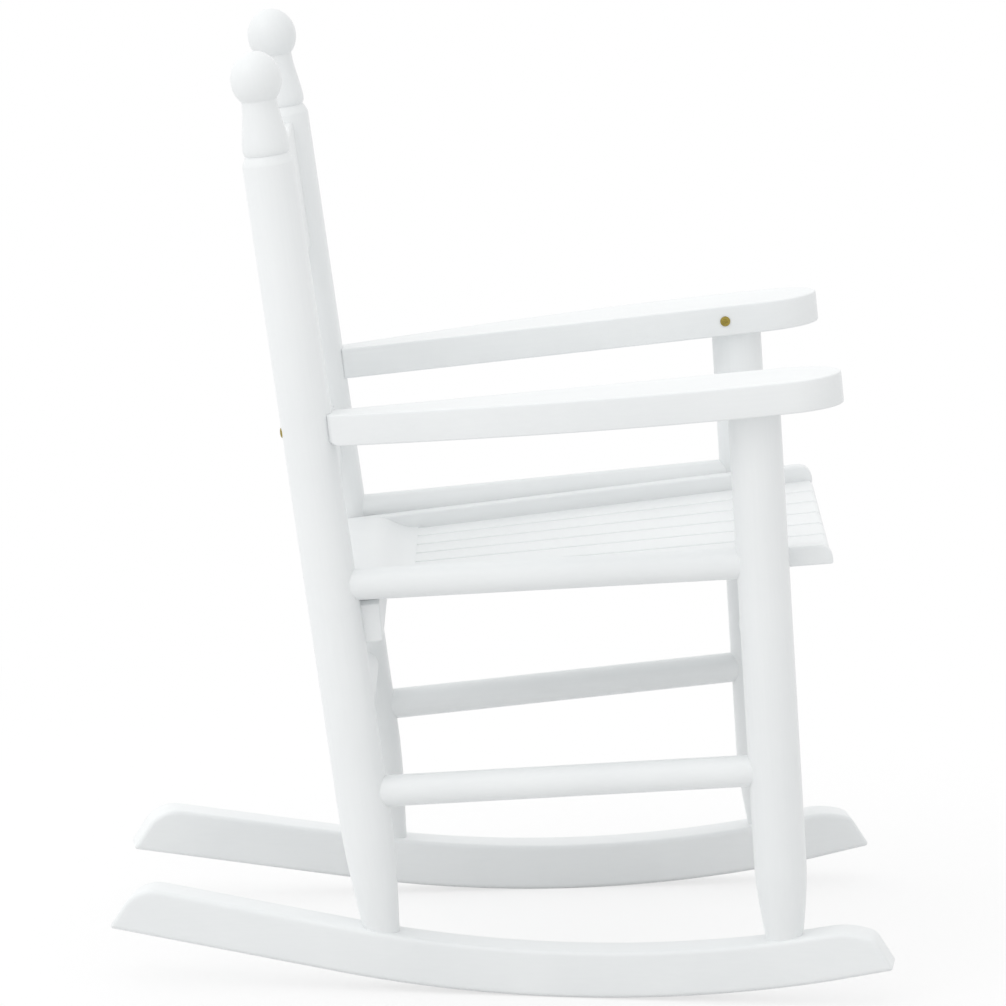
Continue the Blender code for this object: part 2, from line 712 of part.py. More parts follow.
def cubic(start, start_handle, end_handle, end, share):
    rest = 1 - share
    return (
        start * rest**3
        + start_handle * (3 * rest**2 * share)
        + end_handle * (3 * rest * share**2)
        + end * share**3
    )


def quarter_ellipse(centre, along, across, share):
    """From the end of across, round to the end of along."""
    angle = share * math.pi / 2
    return centre + Vector((along * math.sin(angle), across * math.cos(angle)))


def arm_outline():
    """Left arm from above: slanted rear end, bowed outer edge, rounded nose, straight inner edge."""
    slant = math.tan(ARM_REAR_SLANT)
    rear_outer = Vector((ARM_START - slant * ARM_REAR_OUTSIDE, REAR_SPREAD / 2 + ARM_REAR_OUTSIDE))
    widest_x = ARM_RUN + ARM_WIDEST_AHEAD
    widest = Vector((widest_x, arm_inner(widest_x) + ARM_WIDTH))
    tip_y = arm_inner(ARM_TIP) + ARM_TIP_INSET
    nose_start = ARM_TIP - ARM_INNER_NOSE
    third = (widest_x - ARM_START) / 3
    rear_handle = rear_outer + Vector((third, third * ARM_REAR_SLOPE))
    front_handle = widest - Vector((third, third * ARM_FRONT_SLOPE))
    outer_nose = Vector((widest_x, tip_y))
    inner_nose = Vector((nose_start, tip_y))
    steps = range(1, 2 * ARC_STEPS + 1)
    outer = [cubic(rear_outer, rear_handle, front_handle, widest, n / (2 * ARC_STEPS)) for n in steps]
    nose_size = (ARM_TIP - widest_x, widest.y - tip_y)
    nose = [quarter_ellipse(outer_nose, *nose_size, n / (2 * ARC_STEPS)) for n in steps]
    corner = [
        quarter_ellipse(inner_nose, ARM_INNER_NOSE, arm_inner(nose_start) - tip_y, 1 - n / ARC_STEPS)
        for n in range(1, ARC_STEPS + 1)
    ]
    inner_x = ARM_START + slant * ARM_REAR_INSIDE
    inner_rear = (Vector((inner_x, arm_inner(inner_x))), ARM_REAR_CORNER)
    edge = [(point, 0) for point in outer + nose + corner]
    return rounded([(rear_outer, ARM_REAR_RADIUS)] + edge + [inner_rear])


def screw(name, seat, outward, length):
    """Domed screw whose head sits on a face at seat, facing outward."""
    half_head = HEAD_DIA / 2
    profile = []
    for step in range(HEAD_STEPS + 1):
        angle = step / HEAD_STEPS * math.pi / 2
        dome = HEAD_RIM + (1 - HEAD_RIM) * math.cos(angle)
        profile.append((half_head * math.sin(angle), GAP + HEAD_HEIGHT * dome))
    profile.append((half_head, GAP))
    profile.append((SHANK_DIA / 2, GAP))
    profile.append((SHANK_DIA / 2, SHANK_DIA / 2 - length))
    profile.append((0.0, -length))
    mesh = profile_mesh(name, profile)
    mesh.materials.append(finish(name, BRASS, BRASS_ROUGHNESS, 1.0))
    made = bpy.data.objects.new(name, mesh)
    made.location = seat
    made.rotation_mode = "QUATERNION"
    made.rotation_quaternion = outward.to_track_quat("Z", "Y")
    chair.objects.link(made)
    turn(made, SCREW_SIDES)


def screw_hole(made, seat, outward, length):
    bore(made, seat - outward * (length + GAP), seat + outward * HEAD_DIA, SHANK_DIA / 2, SCREW_SIDES)


arm_axes = arm_frame.matrix_world.to_3x3()
arm_middle = ARM_THICK / 2
for word, side in SIDES.items():
    outline = [(point.x, side * point.y) for point in arm_outline()]
    arm = piece(outline_mesh(f"arm_{word}", outline, ARM_THICK), arm_frame)
    arm.location.z = arm_middle
    ease(arm, ARM_EASE, 2)
    shape_by(arm, rear_bodies[word], "DIFFERENCE")
    tenon_top = front_point(side, ARM_FRONT_HEIGHT + ARM_TENON_LENGTH + GAP)
    bore(arm, front_point(side, ARM_FRONT_HEIGHT - POST_RADIUS), tenon_top, ARM_TENON_DIA / 2, POST_SIDES)

    screw_x = ARM_RUN - ARM_SCREW_BACK
    seat = arm_frame.matrix_world @ Vector((screw_x, side * arm_inner(screw_x), arm_middle))
    outward = arm_axes @ Vector((ARM_FLARE, -side, 0.0)).normalized()
    screw(f"arm_front_screw_{word}", seat, outward, ARM_SCREW_LENGTH)
    screw_hole(arm, seat, outward, ARM_SCREW_LENGTH)
    screw_hole(front_posts[word], seat, outward, ARM_SCREW_LENGTH)

    outward = arm_axes @ Vector((-1.0, 0.0, 0.0))
    drift = arm_middle * math.tan(ARM_PITCH - REAR_LEAN)
    head_x = drift - (POST_RADIUS - REAR_SCREW_SINK) / math.cos(ARM_PITCH - REAR_LEAN)
    seat = arm_frame.matrix_world @ Vector((head_x, side * REAR_SPREAD / 2, arm_middle))
    length = POST_DIA + REAR_SCREW_BITE
    screw(f"arm_rear_screw_{word}", seat, outward, length)
    screw_hole(arm, seat, outward, length)
    screw_hole(rear_posts[word], seat, outward, length)
    bore(rear_posts[word], seat, seat + outward * HEAD_DIA, HEAD_DIA / 2, SCREW_SIDES)
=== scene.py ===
import math

import bmesh
import bpy
from mathutils import Matrix, Vector


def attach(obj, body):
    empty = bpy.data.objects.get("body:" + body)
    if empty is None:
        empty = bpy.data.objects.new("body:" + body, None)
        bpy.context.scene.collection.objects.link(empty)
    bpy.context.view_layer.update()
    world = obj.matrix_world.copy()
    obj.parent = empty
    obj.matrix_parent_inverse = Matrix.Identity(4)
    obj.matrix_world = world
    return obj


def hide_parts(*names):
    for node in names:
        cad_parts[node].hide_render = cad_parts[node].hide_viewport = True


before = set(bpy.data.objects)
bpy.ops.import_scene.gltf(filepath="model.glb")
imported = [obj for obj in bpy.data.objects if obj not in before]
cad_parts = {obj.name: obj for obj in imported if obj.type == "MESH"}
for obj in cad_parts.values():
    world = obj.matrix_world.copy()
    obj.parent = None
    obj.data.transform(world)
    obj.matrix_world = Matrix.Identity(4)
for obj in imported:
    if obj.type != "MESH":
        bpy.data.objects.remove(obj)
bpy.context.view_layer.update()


# Rockers: two bowed boards, sawn to one curve with a straight tail, their edges rounded over.
# They splay outwards to the front and carry the chair on the lowest place of the bow.
# Like all the wood here they are close-grained and sprayed with satin white paint.

REAR_SPREAD = 0.247  # between the rear post axes
FRONT_SPREAD = 0.307  # between the front post axes
REAR_FOOT = Vector((-0.0726, REAR_SPREAD / 2, 0.036598))  # left rear post's axis on its rocker
FRONT_FOOT = Vector((0.1714, FRONT_SPREAD / 2, 0.039206))
SPLAY = math.atan2(FRONT_FOOT.y - REAR_FOOT.y, FRONT_FOOT.x - REAR_FOOT.x)
ROCKER_LENGTH = 0.480
ROCKER_HEIGHT = 0.029
ROCKER_THICK = 0.0257
ROCKER_RADIUS = 0.865  # of the bow underneath
ROCKER_LOW = 0.041  # lowest point, ahead of the rocker's middle
ROCKER_TAIL_ANGLE = -0.161865  # where the bow runs out into the straight tail
ROCKER_END_SLANT = math.radians(57.0)  # end cut, from the horizontal
ROCKER_REAR_RADIUS = 0.022
ROCKER_FRONT_TRIM = (0.0128, 0.0080)  # off the front's upper corner, along the top and the end cut
ROCKER_FRONT_RADII = (0.050, 0.010)  # of the two blunt corners that the trim leaves
ROCKER_TIP_RADIUS = 0.0018
ROCKER_ROUND_OVER = 0.0028
ROCKER_STRAIGHT = 0.045  # angle at the front left straight for the rounding of its corners
BOW_STEPS = 48
ARC_STEPS = 8  # in each rounded corner
RIM_STEPS = 5  # in each rounded edge
LEVEL_MARGIN = 1.4  # level ring inside each rounded edge, in widths of the rounding
LEAST_RADIUS = 0.00003
SAME_PLACE = 0.000001  # points closer than this are one
SHARP_ANGLE = math.radians(35.0)
ALONG_X = Vector((1.0, 0.0, 0.0))
ON_EDGE = Matrix.Rotation(math.pi / 2, 4, "X")  # stands a flat outline up in X and Z

WOOD_SLOT = "white_painted_wood"
PAINT_LOW = (0.842, 0.862, 0.868, 1.0)
PAINT_HIGH = (0.878, 0.896, 0.900, 1.0)
GRAIN_SIZE = (0.085, 0.0017, 0.0017)  # of one streak of grain under the paint
GRAIN_NOISE = (1.0, 3.0)  # scale and detail, over the streaks
PEEL_NOISE = (900.0, 1.5)  # fine orange peel of the sprayed coat, per metre
CLOUD_NOISE = (13.0, 3.0)  # slow drift in the coat's thickness
GRAIN_TINT = 0.35  # share of the grain in the coat's colour
COAT_RANGE = (0.45, 0.90)  # of colour and gloss, from the thinnest places to the thickest
GRAIN_SHARE = 0.55  # of the grain in the coat's relief
PAINT_BUMP = 0.10
PAINT_RELIEF = 0.0003
PAINT_GLOSS = (0.30, 0.42)  # roughness, from the smoothest places to the driest


def add_node(tree, kind, feeds=None, **settings):
    """Adds a node; feeds gives an input's value, or the output that drives it."""
    made = tree.nodes.new(kind)
    for name, value in settings.items():
        setattr(made, name, value)
    for socket, value in (feeds or {}).items():
        if isinstance(value, bpy.types.NodeSocket):
            tree.links.new(value, made.inputs[socket])
        else:
            made.inputs[socket].default_value = value
    return made


def reckon(tree, operation, *terms):
    """Result of a Math node."""
    return add_node(tree, "ShaderNodeMath", dict(enumerate(terms)), operation=operation).outputs[0]


def noise(tree, place, scale, detail):
    """Soft noise over a place."""
    feeds = {"Vector": place, "Scale": scale, "Detail": detail}
    return add_node(tree, "ShaderNodeTexNoise", feeds).outputs["Fac"]


def remap(tree, value, start, end, **settings):
    """Value brought from one range to another."""
    feeds = {"Value": value, "From Min": start[0], "From Max": start[1], "To Min": end[0], "To Max": end[1]}
    return add_node(tree, "ShaderNodeMapRange", feeds, **settings).outputs["Result"]


def tinted(tree, value, span, low, high):
    """Colour that runs from low to high over a span of the value."""
    made = add_node(tree, "ShaderNodeValToRGB", {"Fac": value})
    for element, position, colour in zip(made.color_ramp.elements, span, (low, high)):
        element.position = position
        element.color = colour
    return made.outputs["Color"]


def painted_wood(name, along):
    """Satin white paint over wood whose grain runs in the direction along."""
    paint = bpy.data.materials.new(name)
    paint.use_nodes = True
    tree = paint.node_tree
    shader = tree.nodes["Principled BSDF"]
    place = add_node(tree, "ShaderNodeTexCoord").outputs["Object"]
    run = {"Vector": place, "Rotation": along.to_track_quat("X", "Z").to_euler(), "Scale": GRAIN_SIZE}
    streak = add_node(tree, "ShaderNodeMapping", run, vector_type="TEXTURE").outputs["Vector"]
    grain = noise(tree, streak, *GRAIN_NOISE)
    peel = noise(tree, place, *PEEL_NOISE)
    cloud = noise(tree, place, *CLOUD_NOISE)
    coat = reckon(tree, "MULTIPLY_ADD", grain, GRAIN_TINT, cloud)
    tree.links.new(tinted(tree, coat, COAT_RANGE, PAINT_LOW, PAINT_HIGH), shader.inputs["Base Color"])
    tree.links.new(remap(tree, coat, COAT_RANGE, PAINT_GLOSS), shader.inputs["Roughness"])
    height = reckon(tree, "MULTIPLY_ADD", grain, GRAIN_SHARE, peel)
    bump = {"Strength": PAINT_BUMP, "Distance": PAINT_RELIEF, "Height": height}
    relief = add_node(tree, "ShaderNodeBump", bump)
    tree.links.new(relief.outputs["Normal"], shader.inputs["Normal"])
    return paint


def smooth_mesh(bm, name):
    """Mesh from bm, smooth up to its sharp edges."""
    bmesh.ops.remove_doubles(bm, verts=bm.verts, dist=SAME_PLACE)
    bmesh.ops.recalc_face_normals(bm, faces=bm.faces)
    mesh = bpy.data.meshes.new(name)
    bm.to_mesh(mesh)
    bm.free()
    mesh.shade_smooth()
    mesh.set_sharp_from_angle(angle=SHARP_ANGLE)
    return mesh


def rounded(corners, inset=0.0):
    """Outline through anticlockwise (point, radius) corners, moved inwards by inset."""
    points = [Vector(point) for point, radius in corners]
    moved = []
    for index, point in enumerate(points):
        before = (point - points[index - 1]).normalized()
        after = (points[(index + 1) % len(points)] - point).normalized()
        inward = Vector((-before.y - after.y, before.x + after.x)).normalized()
        moved.append(point + inward * (inset / inward.dot(Vector((-after.y, after.x)))))
    outline = []
    for index, corner in enumerate(moved):
        if corners[index][1] == 0:
            outline.append(corner)
            continue
        radius = max(corners[index][1] - inset, LEAST_RADIUS)
        before = (moved[index - 1] - corner).normalized()
        after = (moved[(index + 1) % len(moved)] - corner).normalized()
        half = before.angle(after) / 2
        centre = corner + (before + after).normalized() * (radius / math.sin(half))
        start = (corner + before * (radius / math.tan(half)) - centre).normalized()
        end = (corner + after * (radius / math.tan(half)) - centre).normalized()
        for step in range(ARC_STEPS + 1):
            outline.append(centre + start.slerp(end, step / ARC_STEPS) * radius)
    return outline


def board(name, corners, thickness, round_over):
    """Closed board lying in X and Y, its thickness about Z = 0 and both its rims rounded over."""
    rim = [(0.0, thickness / 2)]
    if round_over > 0:
        turns = [step / RIM_STEPS * math.pi / 2 for step in range(RIM_STEPS + 1)]
        shoulder = thickness / 2 - round_over
        rim = [(round_over * (1 - math.cos(a)), shoulder + round_over * math.sin(a)) for a in turns]
        rim.append((LEVEL_MARGIN * round_over, thickness / 2))
    bm = bmesh.new()
    loops = []
    for inset, height in [(inset, -height) for inset, height in reversed(rim)] + rim:
        loops.append([bm.verts.new((point.x, point.y, height)) for point in rounded(corners, inset)])
    for lower, upper in zip(loops, loops[1:]):
        for here in range(len(lower)):
            past = (here + 1) % len(lower)
            bm.faces.new((lower[here], lower[past], upper[past], upper[here]))
    bm.faces.new(loops[0][::-1])
    bm.faces.new(loops[-1])
    return smooth_mesh(bm, name)


def mirrored(mesh, name):
    """The right-hand copy of a left-hand mesh."""
    copy = mesh.copy()
    copy.name = name
    copy.transform(Matrix.Scale(-1.0, 4, (0.0, 1.0, 0.0)))
    copy.flip_normals()
    return copy


def placed(name, data):
    """New object in the scene."""
    made = bpy.data.objects.new(name, data)
    bpy.context.scene.collection.objects.link(made)
    return made


def show(mesh, material, slot, *nodes):
    """Puts a finished mesh in the chair, in place of the solids that it stands for."""
    mesh.materials.clear()
    mesh.materials.append(material)
    made = placed(mesh.name, mesh)
    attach(made, "root")
    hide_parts(*nodes)


def show_pair(mesh, material, node):
    """Shows a left-hand wooden piece and its mirrored copy."""
    right = mirrored(mesh, mesh.name.replace("left", "right"))
    show(mesh, material, WOOD_SLOT, f"{node}_left")
    show(right, material, WOOD_SLOT, f"{node}_right")


def bow_point(angle, rise):
    """Point at an angle from the lowest place of the bow, rise above its underside."""
    reach = ROCKER_RADIUS - rise
    return Vector((ROCKER_LOW + reach * math.sin(angle), ROCKER_RADIUS - reach * math.cos(angle)))


def rocker_end_corner(tip, angle, inward):
    """Upper corner of an end cut back from its tip; inward is +1 at the rear, -1 at the front."""
    cut = Vector((inward * math.cos(ROCKER_END_SLANT), math.sin(ROCKER_END_SLANT)))
    across = Vector((-math.sin(angle), math.cos(angle)))
    return tip + cut * (ROCKER_HEIGHT / cut.dot(across))


def rocker_corners():
    """Side outline, anticlockwise from the upper corner of the rear end."""
    tail = bow_point(ROCKER_TAIL_ANGLE, 0.0)
    run = -ROCKER_LENGTH / 2 - tail.x
    rear_tip = tail + Vector((run, run * math.tan(ROCKER_TAIL_ANGLE)))
    front_angle = math.asin((ROCKER_LENGTH / 2 - ROCKER_LOW) / ROCKER_RADIUS)
    front_tip = bow_point(front_angle, 0.0)
    rear_corner = rocker_end_corner(rear_tip, ROCKER_TAIL_ANGLE, 1)
    front_corner = rocker_end_corner(front_tip, front_angle, -1)
    sweep = front_angle - ROCKER_STRAIGHT - ROCKER_TAIL_ANGLE
    angles = [ROCKER_TAIL_ANGLE + sweep * step / BOW_STEPS for step in range(BOW_STEPS + 1)]
    below = [(bow_point(angle, 0.0), 0) for angle in angles]
    above = [(bow_point(angle, ROCKER_HEIGHT), 0) for angle in reversed(angles)]
    rear_end = [(rear_corner, ROCKER_REAR_RADIUS), (rear_tip, ROCKER_TIP_RADIUS)]
    on_top = front_corner + (above[0][0] - front_corner).normalized() * ROCKER_FRONT_TRIM[0]
    on_cut = front_corner + (front_tip - front_corner).normalized() * ROCKER_FRONT_TRIM[1]
    front_end = [(front_tip, ROCKER_TIP_RADIUS), (on_cut, ROCKER_FRONT_RADII[1])]
    front_end.append((on_top, ROCKER_FRONT_RADII[0]))
    return rear_end + below + front_end + above


rocker_middle = REAR_FOOT.y - REAR_FOOT.x * math.tan(SPLAY)
rocker_place = Matrix.Translation((0.0, rocker_middle, 0.0)) @ Matrix.Rotation(SPLAY, 4, "Z")
rocker = board("bowed_rocker_left", rocker_corners(), ROCKER_THICK, ROCKER_ROUND_OVER)
rocker.transform(rocker_place @ ON_EDGE)
show_pair(rocker, painted_wood("rocker_paint", ALONG_X), "rocker")


# Rear posts: round posts turned in one piece with a ball finial, a flared neck and a groove.
# They lean back, taper to the foot, and each foot is scribed to the rocker round a hidden tenon.
# A hole at the back of each takes the head of the screw that holds the arm.

POST_RADIUS = 0.0158
POST_SIDES = 80
REAR_LEAN = math.radians(8.0)
REAR_FOOT_RADIUS = 0.0109
REAR_FOOT_TAPER = 0.066  # length over which the foot narrows
FOOT_CURVE = 1.5  # how late the taper sets in
FOOT_STEPS = 12
FINIAL_HEIGHT = 0.524  # rocker to the centre of the ball, along the post
FINIAL_RADIUS = 0.0154
FINIAL_RISE = 0.017  # the ball is a little taller than wide
FINIAL_STEPS = 28
NECK_RADIUS = 0.0107  # just under the ball
NECK_BASE_RADIUS = 0.0143
NECK_HOLLOW = (0.0002, 0.008)  # handle of the curve under the ball, inwards and down
NECK_FLARE = 0.006  # handle over the lip, upwards
GROOVE_DROP = 0.0450  # ball centre to groove
GROOVE_RADIUS = 0.0130
GROOVE_LIP = 0.0046  # rounded end of the neck over the groove
GROOVE_FLANK = 0.0008  # handle in the groove, outwards and up
LIP_ROUND = 0.0027  # handle under the lip, downwards
SHOULDER_LENGTH = 0.0056  # from the groove out to the full post
SHOULDER_RISE = (0.0009, 0.0012)  # handle in the groove, outwards and down
SHOULDER_END = (0.0004, 0.004)  # handle at the full post, inwards from it and down from the groove
POST_PLAIN_TOP = 0.48  # upper end of the plain round, from the rocker
CURVE_STEPS = 12
SCRIBE_ROUNDS = 3
FIT = 0.00006  # between pieces that touch
ARM_REAR_HEIGHT = 0.3012  # arm's underside, along the rear post
ARM_FRONT_HEIGHT = 0.3241  # arm's underside, along the front post
FRONT_LEAN = math.radians(3.7)
ARM_THICK = 0.0192
HEAD_RADIUS = 0.0032  # screw heads
REAR_SCREW_SINK = 0.0006  # head's seat below the post's surface
SCREW_ROOM = 0.0003  # round the head
SCREW_ROOM_LENGTH = 0.01  # from the head's seat out past the post
ALONG_Z = Vector((0.0, 0.0, 1.0))


def cubic(start, start_handle, end_handle, end):
    """Points after the start of a curve, each a (radius, height) pair or a place in plan."""
    points = []
    for step in range(1, CURVE_STEPS + 1):
        share = step / CURVE_STEPS
        rest = 1 - share
        middle = Vector(start_handle) * (3 * rest**2 * share)
        middle += Vector(end_handle) * (3 * rest * share**2)
        points.append(Vector(start) * rest**3 + middle + Vector(end) * share**3)
    return points


def turned(name, profile):
    """Closed turning about Z, from a half outline given from the top down."""
    spokes = [2 * math.pi * side / POST_SIDES for side in range(POST_SIDES)]
    bm = bmesh.new()
    rings = []
    for radius, height in profile:
        around = spokes if radius > 0 else spokes[:1]
        ring = [(radius * math.cos(a), radius * math.sin(a), height) for a in around]
        rings.append([bm.verts.new(point) for point in ring])
    for upper, lower in zip(rings, rings[1:]):
        for here in range(POST_SIDES):
            past = (here + 1) % POST_SIDES
            face = [upper[here % len(upper)], lower[here % len(lower)]]
            face += [lower[past % len(lower)], upper[past % len(upper)]]
            bm.faces.new(list(dict.fromkeys(face)))
    return smooth_mesh(bm, name)


def foot_profile(foot_radius, taper):
    """From the full post, in a soft curve, down to the foot's scribed end."""
    profile = []
    for step in range(FOOT_STEPS + 1):
        share = step / FOOT_STEPS
        radius = POST_RADIUS - (POST_RADIUS - foot_radius) * share**FOOT_CURVE
        profile.append((radius, taper * (1 - share)))
    return profile + [(0.0, 0.0)]


def rear_profile():
    """Half outline of a rear post, from the top of the ball down."""
    neck_angle = math.pi - math.asin(NECK_RADIUS / FINIAL_RADIUS)
    profile = []
    for step in range(FINIAL_STEPS + 1):
        angle = neck_angle * step / FINIAL_STEPS
        profile.append((FINIAL_RADIUS * math.sin(angle), FINIAL_HEIGHT + FINIAL_RISE * math.cos(angle)))
    groove = FINIAL_HEIGHT - GROOVE_DROP
    neck_top = profile[-1]
    lip = (NECK_BASE_RADIUS, groove + GROOVE_LIP)
    bottom = (GROOVE_RADIUS, groove)
    shoulder = (POST_RADIUS, groove - SHOULDER_LENGTH)
    hollow = (NECK_RADIUS - NECK_HOLLOW[0], neck_top[1] - NECK_HOLLOW[1])
    profile += cubic(neck_top, hollow, (NECK_BASE_RADIUS, lip[1] + NECK_FLARE), lip)
    flank = (GROOVE_RADIUS + GROOVE_FLANK, groove + GROOVE_FLANK)
    profile += cubic(lip, (NECK_BASE_RADIUS, lip[1] - LIP_ROUND), flank, bottom)
    rise = (GROOVE_RADIUS + SHOULDER_RISE[0], groove - SHOULDER_RISE[1])
    settled = (POST_RADIUS - SHOULDER_END[0], groove - SHOULDER_END[1])
    profile += cubic(bottom, rise, settled, shoulder)
    return profile + foot_profile(REAR_FOOT_RADIUS, REAR_FOOT_TAPER)


def rocker_surface(point):
    """Height of the left rocker's top over a place on the floor, with its rounded edges."""
    here = rocker_place.inverted() @ Vector((point.x, point.y, 0.0))
    tail = bow_point(ROCKER_TAIL_ANGLE, ROCKER_HEIGHT)
    top = tail.y + (here.x - tail.x) * math.tan(ROCKER_TAIL_ANGLE)
    if here.x > tail.x:
        angle = math.asin((here.x - ROCKER_LOW) / (ROCKER_RADIUS - ROCKER_HEIGHT))
        top = bow_point(angle, ROCKER_HEIGHT).y
    over = max(0.0, abs(here.y) - ROCKER_THICK / 2 + ROCKER_ROUND_OVER)
    return top - ROCKER_ROUND_OVER + math.sqrt(max(0.0, ROCKER_ROUND_OVER**2 - over**2))


def scribe(mesh, stance, end, surface):
    """Slides an end of a standing post along its axis until it lies on a surface."""
    for vertex in mesh.vertices:
        if abs(vertex.co.z - end) < SAME_PLACE:
            for _ in range(SCRIBE_ROUNDS):
                point = stance @ vertex.co
                vertex.co.z += surface(point) - point.z


def hollowed(mesh, *tools):
    """The mesh with the room for other pieces taken out of it."""
    made = placed(mesh.name, mesh)
    for tool in tools:
        cut = made.modifiers.new(tool.name, "BOOLEAN")
        cut.operation = "DIFFERENCE"
        cut.solver = "EXACT"
        cut.object = tool
    return plain_mesh(made, mesh.name)


def plain_mesh(made, name):
    """Mesh of an object with its modifiers applied; the object itself goes."""
    depsgraph = bpy.context.evaluated_depsgraph_get()
    mesh = bpy.data.meshes.new_from_object(made.evaluated_get(depsgraph))
    old = made.data
    bpy.data.objects.remove(made)
    bpy.data.meshes.remove(old)
    mesh.name = name
    mesh.shade_smooth()
    mesh.set_sharp_from_angle(angle=SHARP_ANGLE)
    return mesh


def tool_of(mesh):
    """Object for hollowing others, unseen and removed after its use."""
    made = placed(mesh.name, mesh)
    made.hide_render = True
    return made


def cutter(name, start, end, radius):
    """Round tool between two points."""
    bm = bmesh.new()
    size = {"radius1": radius, "radius2": radius, "depth": (end - start).length}
    bmesh.ops.create_cone(bm, cap_ends=True, segments=POST_SIDES, **size)
    mesh = smooth_mesh(bm, name)
    mesh.transform((end - start).to_track_quat("Z", "Y").to_matrix().to_4x4())
    mesh.transform(Matrix.Translation((start + end) / 2))
    return tool_of(mesh)


def tipped(origin, angle):
    """Frame at a point, tipped back by an angle: its X rises to the front and its Z leans back."""
    return Matrix.Translation(origin) @ Matrix.Rotation(-angle, 4, "Y")


def rear_point(height):
    """Point on the left rear post's axis, at a height along it."""
    return rear_stance @ Vector((0.0, 0.0, height))


def front_point(height):
    """Point on the left front post's axis, at a height along it."""
    return front_stance @ Vector((0.0, 0.0, height))


rear_stance = tipped(REAR_FOOT, REAR_LEAN)
front_stance = tipped(FRONT_FOOT, FRONT_LEAN)
arm_rear = rear_point(ARM_REAR_HEIGHT)
arm_front = front_point(ARM_FRONT_HEIGHT)
ARM_PITCH = math.atan2(arm_front.z - arm_rear.z, arm_front.x - arm_rear.x)
arm_frame = tipped((arm_rear.x, 0.0, arm_rear.z), ARM_PITCH)

post_paint = painted_wood("rear_post_paint", rear_stance.to_3x3() @ ALONG_Z)
rear_post = turned("turned_rear_post_left", rear_profile())
scribe(rear_post, rear_stance, 0.0, rocker_surface)
rear_post.transform(rear_stance)
screw_slant = ARM_PITCH - REAR_LEAN
screw_x = ARM_THICK / 2 * math.tan(screw_slant) - (POST_RADIUS - REAR_SCREW_SINK) / math.cos(screw_slant)
rear_screw_seat = arm_frame @ Vector((screw_x, REAR_FOOT.y, ARM_THICK / 2))
arm_back = arm_frame.to_3x3() @ Vector((-1.0, 0.0, 0.0))
room_end = rear_screw_seat + arm_back * SCREW_ROOM_LENGTH
screw_room = cutter("screw_room", rear_screw_seat, room_end, HEAD_RADIUS + SCREW_ROOM)
rear_post = hollowed(rear_post, screw_room)
bpy.data.objects.remove(screw_room)
show_pair(rear_post, post_paint, "rear_post")
rear_body = cutter("rear_body", REAR_FOOT, rear_point(POST_PLAIN_TOP), POST_RADIUS + FIT)
rear_bodies = [rear_body, tool_of(mirrored(rear_body.data, "rear_body_right"))]


# Front posts: plain turned posts with a short taper at the foot, leaning back a little.
# The foot is scribed to the rocker, and the top meets the arm's underside round a hidden tenon.

FRONT_FOOT_RADIUS = 0.0112
FRONT_FOOT_TAPER = 0.044


def arm_underside(point):
    """Height of the arms' underside over a place on the floor, less the clearance."""
    return arm_rear.z + (point.x - arm_rear.x) * math.tan(ARM_PITCH) - FIT


front_profile = [(0.0, ARM_FRONT_HEIGHT), (POST_RADIUS, ARM_FRONT_HEIGHT)]
front_profile += foot_profile(FRONT_FOOT_RADIUS, FRONT_FOOT_TAPER)
front_post = turned("turned_front_post_left", front_profile)
scribe(front_post, front_stance, 0.0, rocker_surface)
scribe(front_post, front_stance, ARM_FRONT_HEIGHT, arm_underside)
front_post.transform(front_stance)
front_paint = painted_wood("front_post_paint", front_stance.to_3x3() @ ALONG_Z)
show_pair(front_post, front_paint, "front_post")
front_body = cutter("front_body", FRONT_FOOT, arm_front, POST_RADIUS + FIT)
front_bodies = [front_body, tool_of(mirrored(front_body.data, "front_body_right"))]


# Rungs and stretchers: plain dowels, two on each side and one across the front and the back.
# Their ends are glued into blind holes in the posts, so only the part between the posts shows.

RUNG_RADIUS = 0.0096
RUNG_SIDES = 56
RUNG_MORTISE = 0.012  # depth in the post
LOWER_RUNG_REAR = 0.0858  # heights along the posts, from the rocker
LOWER_RUNG_FRONT = 0.1037
SEAT_RUNG_REAR = 0.2146
SEAT_RUNG_FRONT = 0.2310
STRETCHER_RISE = 0.030  # stretchers over the lower side rungs
ALONG_Y = Vector((0.0, 1.0, 0.0))


def inlet(tree, name, kind):
    """Named input of a node tree; its identifier sets it on a modifier."""
    return tree.interface.new_socket(name, in_out="INPUT", socket_type=f"NodeSocket{kind}").identifier


def grown(tree, name, values, start=None):
    """Plain mesh that a tree makes from the given inputs."""
    made = placed(name, start or bpy.data.meshes.new(name))
    grow = made.modifiers.new(tree.name, "NODES")
    grow.node_group = tree
    for identifier, value in values.items():
        grow[identifier] = value
    return plain_mesh(made, name)


def finish_tree(tree, geometry, material):
    """Ends a tree in realised, smooth, painted geometry."""
    tree.interface.new_socket("Geometry", in_out="OUTPUT", socket_type="NodeSocketGeometry")
    real = add_node(tree, "GeometryNodeRealizeInstances", {"Geometry": geometry}).outputs["Geometry"]
    smooth = add_node(tree, "GeometryNodeSetShadeSmooth", {"Geometry": real}).outputs["Geometry"]
    dressed = add_node(tree, "GeometryNodeSetMaterial", {"Geometry": smooth, "Material": material})
    add_node(tree, "NodeGroupOutput", {"Geometry": dressed.outputs["Geometry"]})


